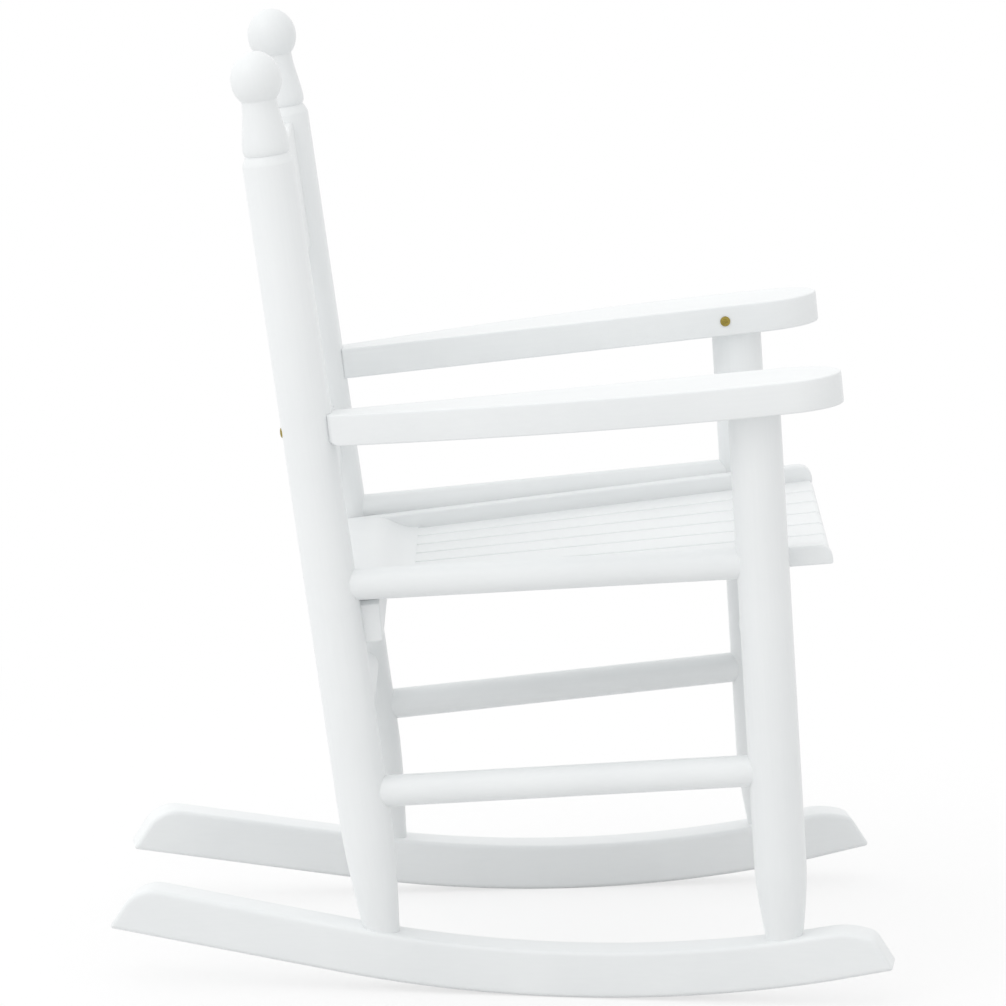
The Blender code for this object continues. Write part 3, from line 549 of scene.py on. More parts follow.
dowel_tree = bpy.data.node_groups.new("dowel", "GeometryNodeTree")
DOWEL_START = inlet(dowel_tree, "Start", "Vector")
DOWEL_END = inlet(dowel_tree, "End", "Vector")
DOWEL_RADIUS = inlet(dowel_tree, "Radius", "Float")
DOWEL_PAINT = inlet(dowel_tree, "Paint", "Material")
sizes = add_node(dowel_tree, "NodeGroupInput").outputs
ends = {"Start": sizes["Start"], "End": sizes["End"]}
axis = add_node(dowel_tree, "GeometryNodeCurvePrimitiveLine", ends)
girth = {"Resolution": RUNG_SIDES, "Radius": sizes["Radius"]}
circle = add_node(dowel_tree, "GeometryNodeCurvePrimitiveCircle", girth)
sweep = {"Curve": axis.outputs["Curve"], "Profile Curve": circle.outputs["Curve"], "Fill Caps": True}
dowel = add_node(dowel_tree, "GeometryNodeCurveToMesh", sweep).outputs["Mesh"]
finish_tree(dowel_tree, dowel, sizes["Paint"])


def rung(name, start, end, paint):
    """Dowel between two post axes, its ends in the posts."""
    along = (end - start).normalized() * (POST_RADIUS - RUNG_MORTISE)
    values = {DOWEL_START: start + along, DOWEL_END: end - along}
    return grown(dowel_tree, name, {**values, DOWEL_RADIUS: RUNG_RADIUS, DOWEL_PAINT: paint})


lower_ends = (rear_point(LOWER_RUNG_REAR), front_point(LOWER_RUNG_FRONT))
seat_ends = (rear_point(SEAT_RUNG_REAR), front_point(SEAT_RUNG_FRONT))
rung_paint = painted_wood("rung_paint", (lower_ends[1] - lower_ends[0]).normalized())
for node, ends in (("lower_rung", lower_ends), ("seat_rung", seat_ends)):
    show_pair(rung(f"round_{node}_left", *ends, rung_paint), rung_paint, node)
cross_paint = painted_wood("stretcher_paint", ALONG_Y)
for place, left in (
    ("front", front_point(LOWER_RUNG_FRONT + STRETCHER_RISE)),
    ("rear", rear_point(LOWER_RUNG_REAR + STRETCHER_RISE)),
):
    right = Vector((left.x, -left.y, left.z))
    stretcher = rung(f"round_{place}_stretcher", right, left, cross_paint)
    show(stretcher, cross_paint, WOOD_SLOT, f"lower_{place}_stretcher")


# Seat rails: a deep board between the front posts and a thinner one lapped on the rear posts.
# Both are planed, eased and notched at the ends, so that the side slats lie over them.
# The front one is tenoned in place, and the rear one is glued to the posts with no fixing in sight.

SEAT_REAR_RISE = -0.0016  # top of the seat over the seat rung's axis, at the rear post
SEAT_FRONT_RISE = 0.0043  # and at the front post
SIDE_SLAT_HEIGHT = 0.0122
SIDE_SLAT_THICK = 0.010
SIDE_SLAT_CLEAR = 0.0008  # side slat to post
SLAT_THICK = 0.0048
SLAT_SINK = 0.0095  # tops of the inner slats below the side slats
SLAT_SPACE = 0.0028  # between neighbouring slats
REAR_RAIL_THICK = 0.0145
REAR_RAIL_PROUD = 0.012  # face of the rear rail ahead of the posts
REAR_RAIL_DEPTH = 0.0215
REAR_RAIL_SHORT = 0.002  # ends short of the post axes
FRONT_RAIL_THICK = 0.018
FRONT_RAIL_DEPTH = 0.040
RAIL_EASE = 0.0014
RAIL_CORNER = 0.0012
FACE_ON = Matrix.Rotation(math.pi / 2, 4, "Z") @ ON_EDGE  # stands a flat outline up in Y and Z

seat_rear = rear_point(SEAT_RUNG_REAR) + Vector((0.0, 0.0, SEAT_REAR_RISE))
seat_front = front_point(SEAT_RUNG_FRONT) + Vector((0.0, 0.0, SEAT_FRONT_RISE))
SEAT_PITCH = math.atan2(seat_front.z - seat_rear.z, seat_front.x - seat_rear.x)
SEAT_RUN = math.hypot(seat_front.z - seat_rear.z, seat_front.x - seat_rear.x)
SEAT_FLARE = (FRONT_SPREAD - REAR_SPREAD) / 2 / SEAT_RUN
seat_frame = tipped((seat_rear.x, 0.0, seat_rear.z), SEAT_PITCH)


def side_face(along):
    """Outer face of a side slat, from the middle of the seat."""
    inset = (POST_RADIUS + SIDE_SLAT_CLEAR) / math.cos(math.atan(SEAT_FLARE))
    return REAR_SPREAD / 2 - inset + along * SEAT_FLARE


def slat_field(along):
    """Half width between the side slats."""
    return side_face(along) - SIDE_SLAT_THICK


def seat_rail(name, along, half_length, depth, thickness, posts):
    """Rail under the slats, hollowed to fit the posts that it meets."""
    bed = -SLAT_SINK - SLAT_THICK - FIT
    shoulder = -SIDE_SLAT_HEIGHT - FIT
    notch = slat_field(along) - SLAT_SPACE / 2
    corners = [
        ((-half_length, bed - depth), RAIL_CORNER),
        ((half_length, bed - depth), RAIL_CORNER),
        ((half_length, shoulder), RAIL_CORNER),
        ((notch, shoulder), 0),
        ((notch, bed), 0),
        ((-notch, bed), 0),
        ((-notch, shoulder), 0),
        ((-half_length, shoulder), RAIL_CORNER),
    ]
    rail = board(name, corners, thickness, RAIL_EASE)
    rail.transform(seat_frame @ Matrix.Translation((along, 0.0, 0.0)) @ FACE_ON)
    return hollowed(rail, *posts)


rear_rail_x = POST_RADIUS + REAR_RAIL_PROUD - REAR_RAIL_THICK / 2
rear_rail_half = REAR_SPREAD / 2 - REAR_RAIL_SHORT
rear_rail_size = (rear_rail_x, rear_rail_half, REAR_RAIL_DEPTH, REAR_RAIL_THICK)
rear_rail = seat_rail("lapped_rear_seat_rail", *rear_rail_size, rear_bodies)
show(rear_rail, cross_paint, WOOD_SLOT, "rear_seat_rail")
front_rail_size = (SEAT_RUN, FRONT_SPREAD / 2, FRONT_RAIL_DEPTH, FRONT_RAIL_THICK)
front_rail = seat_rail("tenoned_front_seat_rail", *front_rail_size, front_bodies)
show(front_rail, cross_paint, WOOD_SLOT, "front_seat_rail")


# Seat: two deep side slats, and between them seven thin slats that fan out and widen to the front.
# A strip with a scooped ramp lies across their rear ends, and their front ends are rounded noses.
# All are glued down on the rails, and no fixing shows.

SLAT_COUNT = 7
SEAT_START = 0.0025  # rear ends of the slats, ahead of the rear post axis
SEAT_OVERHANG = 0.042  # noses, ahead of the front post axis
SIDE_NOSE_RADIUS = 0.0085
NOSE_RADIUS = 0.0037
SLAT_EASE = 0.0010
SIDE_SLAT_EASE = 0.0014
STRIP_DEPTH = 0.046  # along the slats
STRIP_FLAT = 0.018  # level part before the ramp
STRIP_TOE = 0.0001  # thickness at the end of the ramp
RAMP_HANDLE = 0.45  # of the ramp's curve, as a share of its length
SEAT_END = SEAT_RUN + SEAT_OVERHANG
BLANK_WIDTH = 1.0  # of a slat before its sides are brought to their edges
BLANK_PLACE = Matrix.Translation((0.0, BLANK_WIDTH / 2, 0.0)) @ ON_EDGE


def slat_blank(name, top, thickness, nose_radius, round_over):
    """Slat with a rounded front top edge, as wide as a blank and to the left of Y = 0."""
    corners = [
        ((SEAT_START, top - thickness), round_over),
        ((SEAT_END, top - thickness), round_over),
        ((SEAT_END, top), nose_radius),
        ((SEAT_START, top), round_over),
    ]
    blank = board(name, corners, BLANK_WIDTH, round_over)
    blank.transform(BLANK_PLACE)
    return blank


def fit_width(blank, right_edge, left_edge):
    """Brings a blank's two sides to straight edges that may spread, and puts it in the seat."""
    for vertex in blank.vertices:
        if vertex.co.y > BLANK_WIDTH / 2:
            vertex.co.y += left_edge(vertex.co.x) - BLANK_WIDTH
        else:
            vertex.co.y += right_edge(vertex.co.x)
    blank.transform(seat_frame)


seat_paint = painted_wood("seat_paint", seat_frame.to_3x3() @ ALONG_X)
side_slat = slat_blank("deep_side_slat_left", 0.0, SIDE_SLAT_HEIGHT, SIDE_NOSE_RADIUS, SIDE_SLAT_EASE)
fit_width(side_slat, slat_field, side_face)
show_pair(side_slat, seat_paint, "seat_side_slat")

ramp_start = SEAT_START + STRIP_FLAT
ramp_end = SEAT_START + STRIP_DEPTH
strip_low = FIT - SLAT_SINK
toe_top = strip_low + STRIP_TOE
handle = (ramp_end - ramp_start) * RAMP_HANDLE
ramp_handles = ((ramp_end - handle, toe_top), (ramp_start + handle, 0.0))
ramp = cubic((ramp_end, toe_top), *ramp_handles, (ramp_start, 0.0))
strip_outline = [(SEAT_START, strip_low), (ramp_end, strip_low), (ramp_end, toe_top), *ramp]
strip_corners = [(point, 0) for point in strip_outline] + [((SEAT_START, 0.0), SLAT_EASE)]
strip = board("scooped_rear_strip", strip_corners, BLANK_WIDTH, 0.0)
strip.transform(BLANK_PLACE)
fit_width(strip, lambda x: FIT - slat_field(x), lambda x: slat_field(x) - FIT)
show(strip, seat_paint, WOOD_SLOT, "seat_rear_strip")

fan_tree = bpy.data.node_groups.new("fanned_slats", "GeometryNodeTree")
FAN_BLANK = inlet(fan_tree, "Blank", "Object")
FAN_COUNT = inlet(fan_tree, "Count", "Int")
FAN_SPACE = inlet(fan_tree, "Space", "Float")
FAN_REAR = inlet(fan_tree, "Rear half width", "Float")
FAN_FLARE = inlet(fan_tree, "Flare", "Float")
FAN_PAINT = inlet(fan_tree, "Paint", "Material")
sizes = add_node(fan_tree, "NodeGroupInput").outputs
stack = {"Count": sizes["Count"], "Offset": (0.0, 0.0, 0.0)}
line = add_node(fan_tree, "GeometryNodeMeshLine", stack).outputs["Mesh"]
blank = add_node(fan_tree, "GeometryNodeObjectInfo", {"Object": sizes["Blank"]}).outputs["Geometry"]
row = add_node(fan_tree, "GeometryNodeInstanceOnPoints", {"Points": line, "Instance": blank})
number = add_node(fan_tree, "GeometryNodeInputIndex").outputs["Index"]
tally = {"Geometry": row.outputs["Instances"], "Name": "slat", "Value": number}
numbered = add_node(fan_tree, "GeometryNodeStoreNamedAttribute", tally, data_type="INT", domain="INSTANCE")
loose = add_node(fan_tree, "GeometryNodeRealizeInstances", {"Geometry": numbered.outputs["Geometry"]})
slat_number = add_node(fan_tree, "GeometryNodeInputNamedAttribute", {"Name": "slat"}, data_type="INT")
point = add_node(fan_tree, "GeometryNodeInputPosition").outputs["Position"]
axes = add_node(fan_tree, "ShaderNodeSeparateXYZ", {"Vector": point}).outputs
field = reckon(fan_tree, "MULTIPLY_ADD", axes["X"], sizes["Flare"], sizes["Rear half width"])
clear = reckon(fan_tree, "SUBTRACT", reckon(fan_tree, "MULTIPLY", field, 2.0), sizes["Space"])
pitch = reckon(fan_tree, "DIVIDE", clear, sizes["Count"])
first = reckon(fan_tree, "SUBTRACT", sizes["Space"], field)
edge = reckon(fan_tree, "MULTIPLY_ADD", slat_number.outputs["Attribute"], pitch, first)
widen = reckon(fan_tree, "SUBTRACT", reckon(fan_tree, "SUBTRACT", pitch, sizes["Space"]), BLANK_WIDTH)
is_left = reckon(fan_tree, "GREATER_THAN", axes["Y"], BLANK_WIDTH / 2)
across = reckon(fan_tree, "ADD", reckon(fan_tree, "MULTIPLY_ADD", is_left, widen, edge), axes["Y"])
spot = add_node(fan_tree, "ShaderNodeCombineXYZ", {"X": axes["X"], "Y": across, "Z": axes["Z"]})
spread = {"Geometry": loose.outputs["Geometry"], "Position": spot.outputs["Vector"]}
fan = add_node(fan_tree, "GeometryNodeSetPosition", spread).outputs["Geometry"]
bare = add_node(fan_tree, "GeometryNodeRemoveAttribute", {"Geometry": fan, "Name": "slat"})
finish_tree(fan_tree, bare.outputs["Geometry"], sizes["Paint"])

slat_mesh = slat_blank("slat_blank", -SLAT_SINK, SLAT_THICK, NOSE_RADIUS, SLAT_EASE)
slat_pattern = placed("slat_blank", slat_mesh)
fan_values = {FAN_BLANK: slat_pattern, FAN_COUNT: SLAT_COUNT, FAN_SPACE: SLAT_SPACE}
fan_values.update({FAN_REAR: slat_field(0.0), FAN_FLARE: SEAT_FLARE, FAN_PAINT: seat_paint})
slats = grown(fan_tree, "fanned_seat_slats", fan_values)
slats.transform(seat_frame)
bpy.data.objects.remove(slat_pattern)
show(slats, seat_paint, WOOD_SLOT, *[f"seat_slat_{n + 1}" for n in range(SLAT_COUNT)])


# Back: a deep crest rail and a shallow lower rail, hollowed to the posts and tenoned into them.
# Five flat slats stand between the two rails, their ends housed in them, all with eased edges.

CREST_DROP = 0.0098  # groove of the rear posts to the top of the crest rail
CREST_HEIGHT = 0.080
BACK_RAIL_THICK = 0.0115
BACK_RAIL_EDGE = 0.0020
LOWER_RAIL_BOTTOM = 0.250  # along the rear posts, from the rocker
LOWER_RAIL_HEIGHT = 0.036
BACK_SLAT_COUNT = 5
BACK_SLAT_WIDTH = 0.024
BACK_SLAT_THICK = 0.0065
BACK_SLAT_HOUSING = 0.008  # depth in each rail
BACK_SLAT_EDGE = 0.0016
CREST_BOTTOM = FINIAL_HEIGHT - GROOVE_DROP - CREST_DROP - CREST_HEIGHT
LOWER_RAIL_TOP = LOWER_RAIL_BOTTOM + LOWER_RAIL_HEIGHT

back_frame = tipped((REAR_FOOT.x, 0.0, REAR_FOOT.z), REAR_LEAN)


def rectangle(width, height, radius):
    """Corners of a rectangle about the origin, all of one radius."""
    signs = ((-1, -1), (1, -1), (1, 1), (-1, 1))
    return [((x * width / 2, y * height / 2), radius) for x, y in signs]


for name, node, bottom, height in (
    ("tenoned_crest_rail", "crest_rail", CREST_BOTTOM, CREST_HEIGHT),
    ("tenoned_lower_back_rail", "lower_back_rail", LOWER_RAIL_BOTTOM, LOWER_RAIL_HEIGHT),
):
    rail = board(name, rectangle(BACK_RAIL_THICK, height, BACK_RAIL_EDGE), REAR_SPREAD, 0.0)
    rail.transform(back_frame @ Matrix.Translation((0.0, 0.0, bottom + height / 2)) @ ON_EDGE)
    show(hollowed(rail, *rear_bodies), cross_paint, WOOD_SLOT, node)

row_tree = bpy.data.node_groups.new("row_of_slats", "GeometryNodeTree")
ROW_SLAT = inlet(row_tree, "Slat", "Object")
ROW_COUNT = inlet(row_tree, "Count", "Int")
ROW_START = inlet(row_tree, "Start", "Vector")
ROW_PITCH = inlet(row_tree, "Pitch", "Vector")
ROW_PAINT = inlet(row_tree, "Paint", "Material")
sizes = add_node(row_tree, "NodeGroupInput").outputs
steps = {"Count": sizes["Count"], "Start Location": sizes["Start"], "Offset": sizes["Pitch"]}
line = add_node(row_tree, "GeometryNodeMeshLine", steps).outputs["Mesh"]
slat = add_node(row_tree, "GeometryNodeObjectInfo", {"Object": sizes["Slat"]}).outputs["Geometry"]
row = add_node(row_tree, "GeometryNodeInstanceOnPoints", {"Points": line, "Instance": slat})
finish_tree(row_tree, row.outputs["Instances"], sizes["Paint"])

back_slat_length = CREST_BOTTOM - LOWER_RAIL_TOP + 2 * BACK_SLAT_HOUSING
back_pitch = (REAR_SPREAD - 2 * POST_RADIUS + BACK_SLAT_WIDTH) / (BACK_SLAT_COUNT + 1)
slat_section = rectangle(BACK_SLAT_THICK, BACK_SLAT_WIDTH, BACK_SLAT_EDGE)
slat_mesh = board("back_slat_pattern", slat_section, back_slat_length, 0.0)
slat_pattern = placed("back_slat_pattern", slat_mesh)
slat_middle = (CREST_BOTTOM + LOWER_RAIL_TOP) / 2
row_start = Vector((0.0, -(BACK_SLAT_COUNT - 1) / 2 * back_pitch, slat_middle))
row_values = {ROW_SLAT: slat_pattern, ROW_COUNT: BACK_SLAT_COUNT, ROW_START: row_start}
back_paint = painted_wood("back_slat_paint", back_frame.to_3x3() @ ALONG_Z)
row_values.update({ROW_PITCH: Vector((0.0, back_pitch, 0.0)), ROW_PAINT: back_paint})
back_slats = grown(row_tree, "upright_back_slats", row_values)
back_slats.transform(back_frame)
bpy.data.objects.remove(slat_pattern)
show(back_slats, back_paint, WOOD_SLOT, *[f"back_slat_{n + 1}" for n in range(BACK_SLAT_COUNT)])


# Arms: paddle-shaped boards, narrow at the back, bowed on the outside and rounded at the front.
# The rear end is hollowed to the rear post, and the front rests on the front post.
# All edges are rounded over before painting.

ARM_REAR_LAP = 0.0024  # depth of the hollow that fits the rear post
ARM_REAR_SLANT = math.radians(8.2)  # rear end, square to the splayed arm
ARM_REAR_INSIDE = 0.0068  # rear end, inside the rear post axis
ARM_REAR_OUTSIDE = 0.0125  # rear end, outside the rear post axis
ARM_REAR_RADIUS = 0.005  # outer rear corner
ARM_REAR_CORNER = 0.0012  # inner rear corner
ARM_HEEL = (0.0065, 0.0085)  # rounding of the lower outer rear corner, along the arm and upwards
ARM_HEEL_TURN = math.radians(-30.0)  # the rounding runs out towards the inside
HEEL_SPARE = 0.002  # waste beyond the arm's faces
ARM_FRONT_INSIDE = 0.0228  # inner edge, inside the front post axis
ARM_WIDTH = 0.0556  # at the widest
ARM_WIDEST_AHEAD = 0.0218  # widest place, ahead of the front post axis
ARM_OVERHANG = 0.0535  # tip, ahead of the front post axis
ARM_TIP_INSET = 0.0281  # tip, outside the inner edge
ARM_INNER_NOSE = 0.038  # length of the inner front corner
ARM_REAR_SLOPE = 0.318  # outer edge leaving the rear end
ARM_FRONT_SLOPE = -0.029  # outer edge arriving at the widest place
ARM_ROUND_OVER = 0.0012
NOSE_STEPS = 26

arm_run = math.hypot(arm_front.x - arm_rear.x, arm_front.z - arm_rear.z)
arm_start = POST_RADIUS - ARM_REAR_LAP
arm_tip = arm_run + ARM_OVERHANG
arm_taper = (FRONT_SPREAD - REAR_SPREAD) / 2 - ARM_FRONT_INSIDE + ARM_REAR_INSIDE
arm_flare = arm_taper / (arm_run - arm_start)


def arm_inner(along):
    """Inner edge of the left arm, from the middle of the chair."""
    return REAR_SPREAD / 2 - ARM_REAR_INSIDE + (along - arm_start) * arm_flare


def nose_curve(centre, along, across):
    """Quarter of an ellipse, from the end of across round to the end of along."""
    turns = [step / NOSE_STEPS * math.pi / 2 for step in range(1, NOSE_STEPS + 1)]
    return [centre + Vector((along * math.sin(a), across * math.cos(a))) for a in turns]


def arm_corners():
    """Left arm from above, anticlockwise from the inner rear corner."""
    slant = math.tan(ARM_REAR_SLANT)
    rear_outer = Vector((arm_start - slant * ARM_REAR_OUTSIDE, REAR_SPREAD / 2 + ARM_REAR_OUTSIDE))
    inner_x = arm_start + slant * ARM_REAR_INSIDE
    rear_inner = Vector((inner_x, arm_inner(inner_x)))
    widest_x = arm_run + ARM_WIDEST_AHEAD
    widest = Vector((widest_x, arm_inner(widest_x) + ARM_WIDTH))
    tip_y = arm_inner(arm_tip) + ARM_TIP_INSET
    third = (widest_x - arm_start) / 3
    rear_handle = rear_outer + Vector((third, third * ARM_REAR_SLOPE))
    front_handle = widest - Vector((third, third * ARM_FRONT_SLOPE))
    outer = cubic(rear_outer, rear_handle, front_handle, widest)
    nose = nose_curve(Vector((widest_x, tip_y)), arm_tip - widest_x, widest.y - tip_y)
    corner_x = arm_tip - ARM_INNER_NOSE
    inner_end = Vector((corner_x, arm_inner(corner_x)))
    corner = nose_curve(Vector((corner_x, tip_y)), ARM_INNER_NOSE, inner_end.y - tip_y)
    corner = [inner_end] + corner[:-1]
    edge = [(point, 0) for point in corner + nose[::-1] + outer[::-1]]
    return [(rear_inner, ARM_REAR_CORNER)] + edge + [(rear_outer, ARM_REAR_RADIUS)]


def heel_corners():
    """Side outline of the waste that rounds the arm's lower outer corner, from the rear end on."""
    run, rise = ARM_HEEL
    turns = [step / ARC_STEPS * math.pi / 2 for step in range(ARC_STEPS + 1)]
    arc = [(run * (1 - math.sin(a)), rise * (1 - math.cos(a))) for a in turns]
    below = [(-HEEL_SPARE, -HEEL_SPARE), (run, -HEEL_SPARE)]
    return [(point, 0) for point in below + arc + [(-HEEL_SPARE, rise)]]


arm = board("paddle_arm_left", arm_corners(), ARM_THICK, ARM_ROUND_OVER)
arm.transform(arm_frame @ Matrix.Translation((0.0, 0.0, ARM_THICK / 2)))
heel = tool_of(board("arm_heel", heel_corners(), ARM_WIDTH, 0.0))
heel_x = arm_start - math.tan(ARM_REAR_SLANT) * ARM_REAR_OUTSIDE
heel_spot = Matrix.Translation((heel_x, REAR_SPREAD / 2 + ARM_REAR_OUTSIDE, 0.0))
heel.data.transform(arm_frame @ heel_spot @ Matrix.Rotation(ARM_HEEL_TURN, 4, "Z") @ ON_EDGE)
arm = hollowed(arm, rear_body, heel)
show_pair(arm, painted_wood("arm_paint", arm_frame.to_3x3() @ ALONG_X), "arm")
for spent in rear_bodies + front_bodies + [heel]:
    bpy.data.objects.remove(spent)


# Screws: four small brass-plated screws with domed heads and a cross recess.
# One enters the inner edge of each arm at the front post, and one holds the arm's rear end
# from behind the rear post.

HEAD_HEIGHT = 0.0016
HEAD_RIM = 0.3  # upright rim, as a share of the head's height
SHANK_RADIUS = 0.0016
SCREW_LENGTH = 0.020
RECESS_LENGTH = 0.0036
RECESS_WIDTH = 0.0008
RECESS_DEPTH = 0.0009
ARM_SCREW_BACK = 0.0068  # behind the front post axis
BRASS_LOW = (0.29, 0.225, 0.050, 1.0)
BRASS_HIGH = (0.42, 0.335, 0.090, 1.0)
BRASS_NOISE = (1400.0, 4.0)  # scale per metre, and detail
BRASS_RANGE = (0.3, 0.7)  # of colour and gloss, from the dullest places to the brightest
BRASS_GLOSS = (0.42, 0.28)  # roughness
BRASS_BUMP = 0.08
BRASS_RELIEF = 0.0001

brass = bpy.data.materials.new("brass_plate")
brass.use_nodes = True
brass_nodes = brass.node_tree
brass_shader = brass_nodes.nodes["Principled BSDF"]
brass_shader.inputs["Metallic"].default_value = 1.0
place = add_node(brass_nodes, "ShaderNodeTexCoord").outputs["Object"]
bloom = noise(brass_nodes, place, *BRASS_NOISE)
tone = tinted(brass_nodes, bloom, BRASS_RANGE, BRASS_LOW, BRASS_HIGH)
brass_nodes.links.new(tone, brass_shader.inputs["Base Color"])
polish = remap(brass_nodes, bloom, BRASS_RANGE, BRASS_GLOSS)
brass_nodes.links.new(polish, brass_shader.inputs["Roughness"])
dents = {"Strength": BRASS_BUMP, "Distance": BRASS_RELIEF, "Height": bloom}
scratch = add_node(brass_nodes, "ShaderNodeBump", dents)
brass_nodes.links.new(scratch.outputs["Normal"], brass_shader.inputs["Normal"])

screw_profile = []
for step in range(CURVE_STEPS + 1):
    angle = step / CURVE_STEPS * math.pi / 2
    dome = HEAD_RIM + (1 - HEAD_RIM) * math.cos(angle)
    screw_profile.append((HEAD_RADIUS * math.sin(angle), FIT + HEAD_HEIGHT * dome))
screw_profile += [(HEAD_RADIUS, FIT), (SHANK_RADIUS, FIT), (SHANK_RADIUS, SHANK_RADIUS - SCREW_LENGTH)]
screw_profile.append((0.0, -SCREW_LENGTH))
screw_mesh = turned("screw_pattern", screw_profile)
recess_tools = []
for word, width, height in (
    ("recess_one", RECESS_LENGTH, RECESS_WIDTH),
    ("recess_two", RECESS_WIDTH, RECESS_LENGTH),
):
    tool = tool_of(board(word, rectangle(width, height, 0), 2 * RECESS_DEPTH, 0.0))
    tool.data.transform(Matrix.Translation((0.0, 0.0, FIT + HEAD_HEIGHT)))
    recess_tools.append(tool)
screw_mesh = hollowed(screw_mesh, *recess_tools)
for tool in recess_tools:
    bpy.data.objects.remove(tool)

screw_tree = bpy.data.node_groups.new("screws", "GeometryNodeTree")
inlet(screw_tree, "Places", "Geometry")
SCREW_PATTERN = inlet(screw_tree, "Screw", "Object")
SCREW_METAL = inlet(screw_tree, "Metal", "Material")
sizes = add_node(screw_tree, "NodeGroupInput").outputs
stored = {"Name": "outward"}
facing = add_node(screw_tree, "GeometryNodeInputNamedAttribute", stored, data_type="FLOAT_VECTOR")
turn = {"Vector": facing.outputs["Attribute"]}
lean_out = add_node(screw_tree, "FunctionNodeAlignRotationToVector", turn, axis="Z")
screw = add_node(screw_tree, "GeometryNodeObjectInfo", {"Object": sizes["Screw"]}).outputs["Geometry"]
driven = {"Points": sizes["Places"], "Instance": screw, "Rotation": lean_out.outputs["Rotation"]}
set_in = add_node(screw_tree, "GeometryNodeInstanceOnPoints", driven).outputs["Instances"]
finish_tree(screw_tree, set_in, sizes["Metal"])

arm_screw_x = arm_run - ARM_SCREW_BACK
arm_screw = arm_frame @ Vector((arm_screw_x, arm_inner(arm_screw_x), ARM_THICK / 2))
arm_inward = arm_frame.to_3x3() @ Vector((arm_flare, -1.0, 0.0)).normalized()
left_screws = [(arm_screw, arm_inward), (rear_screw_seat, arm_back)]
flip = Vector((1.0, -1.0, 1.0))
screw_places = left_screws + [(seat * flip, outward * flip) for seat, outward in left_screws]
places = bpy.data.meshes.new("screw_places")
places.from_pydata([seat for seat, outward in screw_places], [], [])
facings = places.attributes.new("outward", "FLOAT_VECTOR", "POINT")
for number, (seat, outward) in enumerate(screw_places):
    facings.data[number].vector = outward
screw_pattern = placed("screw_pattern", screw_mesh)
screws = grown(screw_tree, "brass_screws", {SCREW_PATTERN: screw_pattern, SCREW_METAL: brass}, places)
bpy.data.objects.remove(screw_pattern)
screw_nodes = [f"arm_{end}_screw_{side}" for end in ("front", "rear") for side in ("left", "right")]
show(screws, brass, "brass_screw", *screw_nodes)


# Studio: a plain white floor that keeps the chair's shadow, soft light from all round, a little
# stronger from behind the sitter and from the far side, and one large soft lamp, high up and faint.

FLOOR_REACH = 12.0
FLOOR_THICK = 0.02
FLOOR_DROP = 0.0002  # top of the floor under the rockers
FLOOR_BOUNCE = (0.74, 0.74, 0.74, 1.0)  # colour of the floor in the light that it throws back
FLOOR_SEEN = (0.93, 0.93, 0.93, 1.0)  # and in what the camera sees
WHITE = (1.0, 1.0, 1.0, 1.0)
SHADOW_SHARE = 0.3  # of the lit floor in what is seen near the chair
SHADOW_REACH = (0.35, 0.9)  # distances over which the floor turns pure white
SKY_SIDES = (  # strength of the light from ahead, behind, the camera's side, the far side and above
    ("X", 1.0, 0.60),
    ("X", -1.0, 1.22),
    ("Y", -1.0, 1.02),
    ("Y", 1.0, 1.28),
    ("Z", 1.0, 1.09),
)
AIM = Vector((0.0, 0.0, 0.28))
LAMP_PLACE = Vector((-2.0, -1.5, 2.9))
LAMP_SIZE = 2.2
LAMP_POWER = 9.0
CAMERA_PLACE = (0.00818, -3.85003, 0.98114)
CAMERA_TURN = (math.radians(90.0 - 10.3605), 0.0, math.radians(0.1069))
CAMERA_LENS = 225.45
CAMERA_SENSOR = 36.0

scene = bpy.context.scene
scene.view_settings.view_transform = "Standard"


def seen_white(tree):
    """1 for what the camera, a reflection or a clear piece sees directly."""
    rays = add_node(tree, "ShaderNodeLightPath").outputs
    seen = reckon(tree, "MAXIMUM", rays["Is Camera Ray"], rays["Is Glossy Ray"])
    return reckon(tree, "MAXIMUM", seen, rays["Is Transmission Ray"])


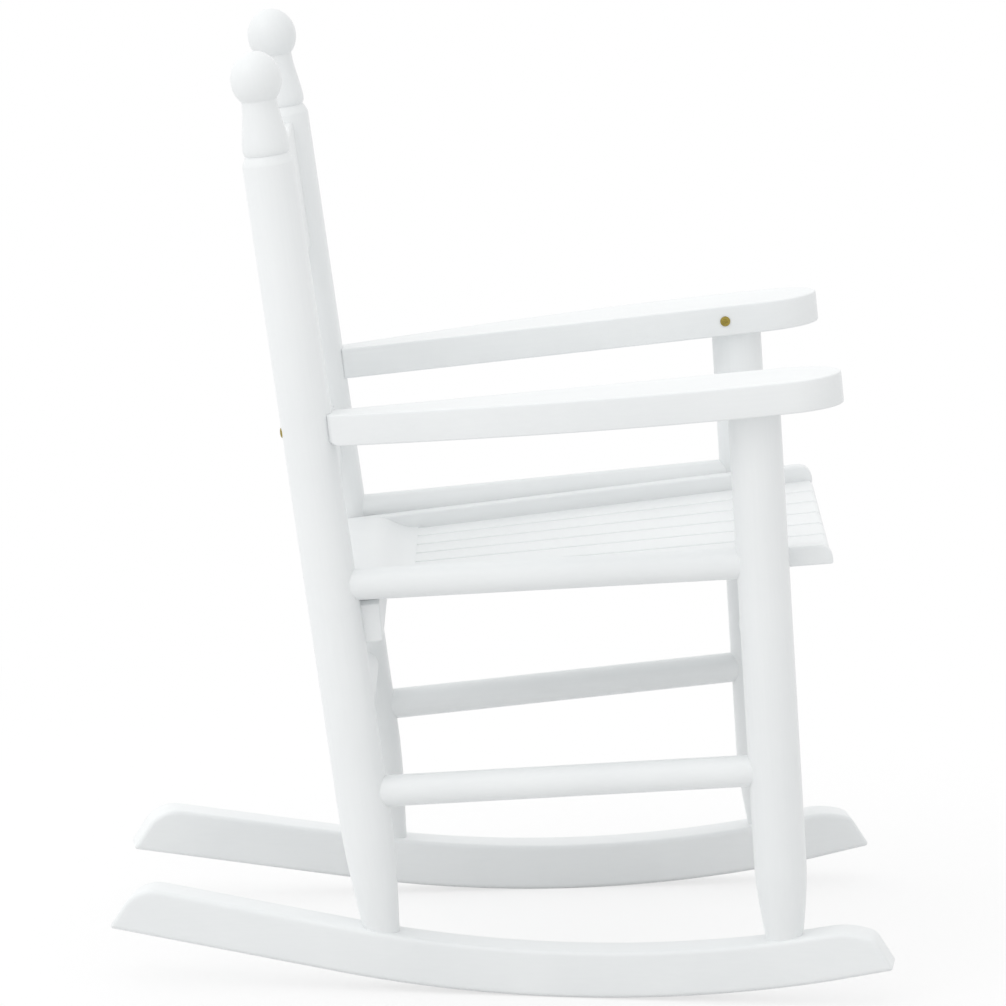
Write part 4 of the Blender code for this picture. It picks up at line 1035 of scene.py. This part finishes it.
studio = bpy.data.worlds.new("studio")
studio.use_nodes = True
scene.world = studio
sky = studio.node_tree
sky.nodes.clear()
facing = add_node(sky, "ShaderNodeTexCoord").outputs["Generated"]
axes = add_node(sky, "ShaderNodeSeparateXYZ", {"Vector": facing}).outputs
level = 0.0
for axis, sign, strength in SKY_SIDES:
    part = reckon(sky, "MAXIMUM", reckon(sky, "MULTIPLY", axes[axis], sign), 0.0)
    level = reckon(sky, "MULTIPLY_ADD", reckon(sky, "MULTIPLY", part, part), strength, level)
soft = add_node(sky, "ShaderNodeBackground", {"Color": WHITE, "Strength": level}).outputs["Background"]
white = add_node(sky, "ShaderNodeBackground", {"Color": WHITE, "Strength": 1.0}).outputs["Background"]
around = add_node(sky, "ShaderNodeMixShader", {0: seen_white(sky), 1: soft, 2: white})
add_node(sky, "ShaderNodeOutputWorld", {"Surface": around.outputs["Shader"]})

floor_cover = bpy.data.materials.new("studio_floor")
floor_cover.use_nodes = True
cover = floor_cover.node_tree
cover.nodes.clear()
bounce = add_node(cover, "ShaderNodeBsdfDiffuse", {"Color": FLOOR_BOUNCE}).outputs["BSDF"]
lit = add_node(cover, "ShaderNodeBsdfDiffuse", {"Color": FLOOR_SEEN}).outputs["BSDF"]
glow = add_node(cover, "ShaderNodeEmission", {"Color": WHITE, "Strength": 1.0}).outputs["Emission"]
spot = add_node(cover, "ShaderNodeTexCoord").outputs["Object"]
away = add_node(cover, "ShaderNodeVectorMath", {0: spot}, operation="LENGTH").outputs["Value"]
share = remap(cover, away, SHADOW_REACH, (SHADOW_SHARE, 0.0), interpolation_type="SMOOTHSTEP")
pale = add_node(cover, "ShaderNodeMixShader", {0: share, 1: glow, 2: lit}).outputs["Shader"]
laid = add_node(cover, "ShaderNodeMixShader", {0: seen_white(cover), 1: bounce, 2: pale})
add_node(cover, "ShaderNodeOutputMaterial", {"Surface": laid.outputs["Shader"]})

floor_mesh = board("studio_floor", rectangle(2 * FLOOR_REACH, 2 * FLOOR_REACH, 0), FLOOR_THICK, 0.0)
floor_mesh.transform(Matrix.Translation((0.0, 0.0, -FLOOR_THICK / 2 - FLOOR_DROP)))
floor_mesh.materials.append(floor_cover)
floor = placed("studio_floor", floor_mesh)

lamp_light = bpy.data.lights.new("soft_lamp", "AREA")
lamp_light.shape = "DISK"
lamp_light.size = LAMP_SIZE
lamp_light.energy = LAMP_POWER
lamp = placed("soft_lamp", lamp_light)
lamp.location = LAMP_PLACE
lamp.rotation_euler = (AIM - LAMP_PLACE).to_track_quat("-Z", "Y").to_euler()
lamp.visible_camera = False

camera_view = bpy.data.cameras.new("camera")
camera_view.lens = CAMERA_LENS
camera_view.sensor_width = CAMERA_SENSOR
camera = placed("camera", camera_view)
camera.location = CAMERA_PLACE
camera.rotation_euler = CAMERA_TURN
scene.camera = camera
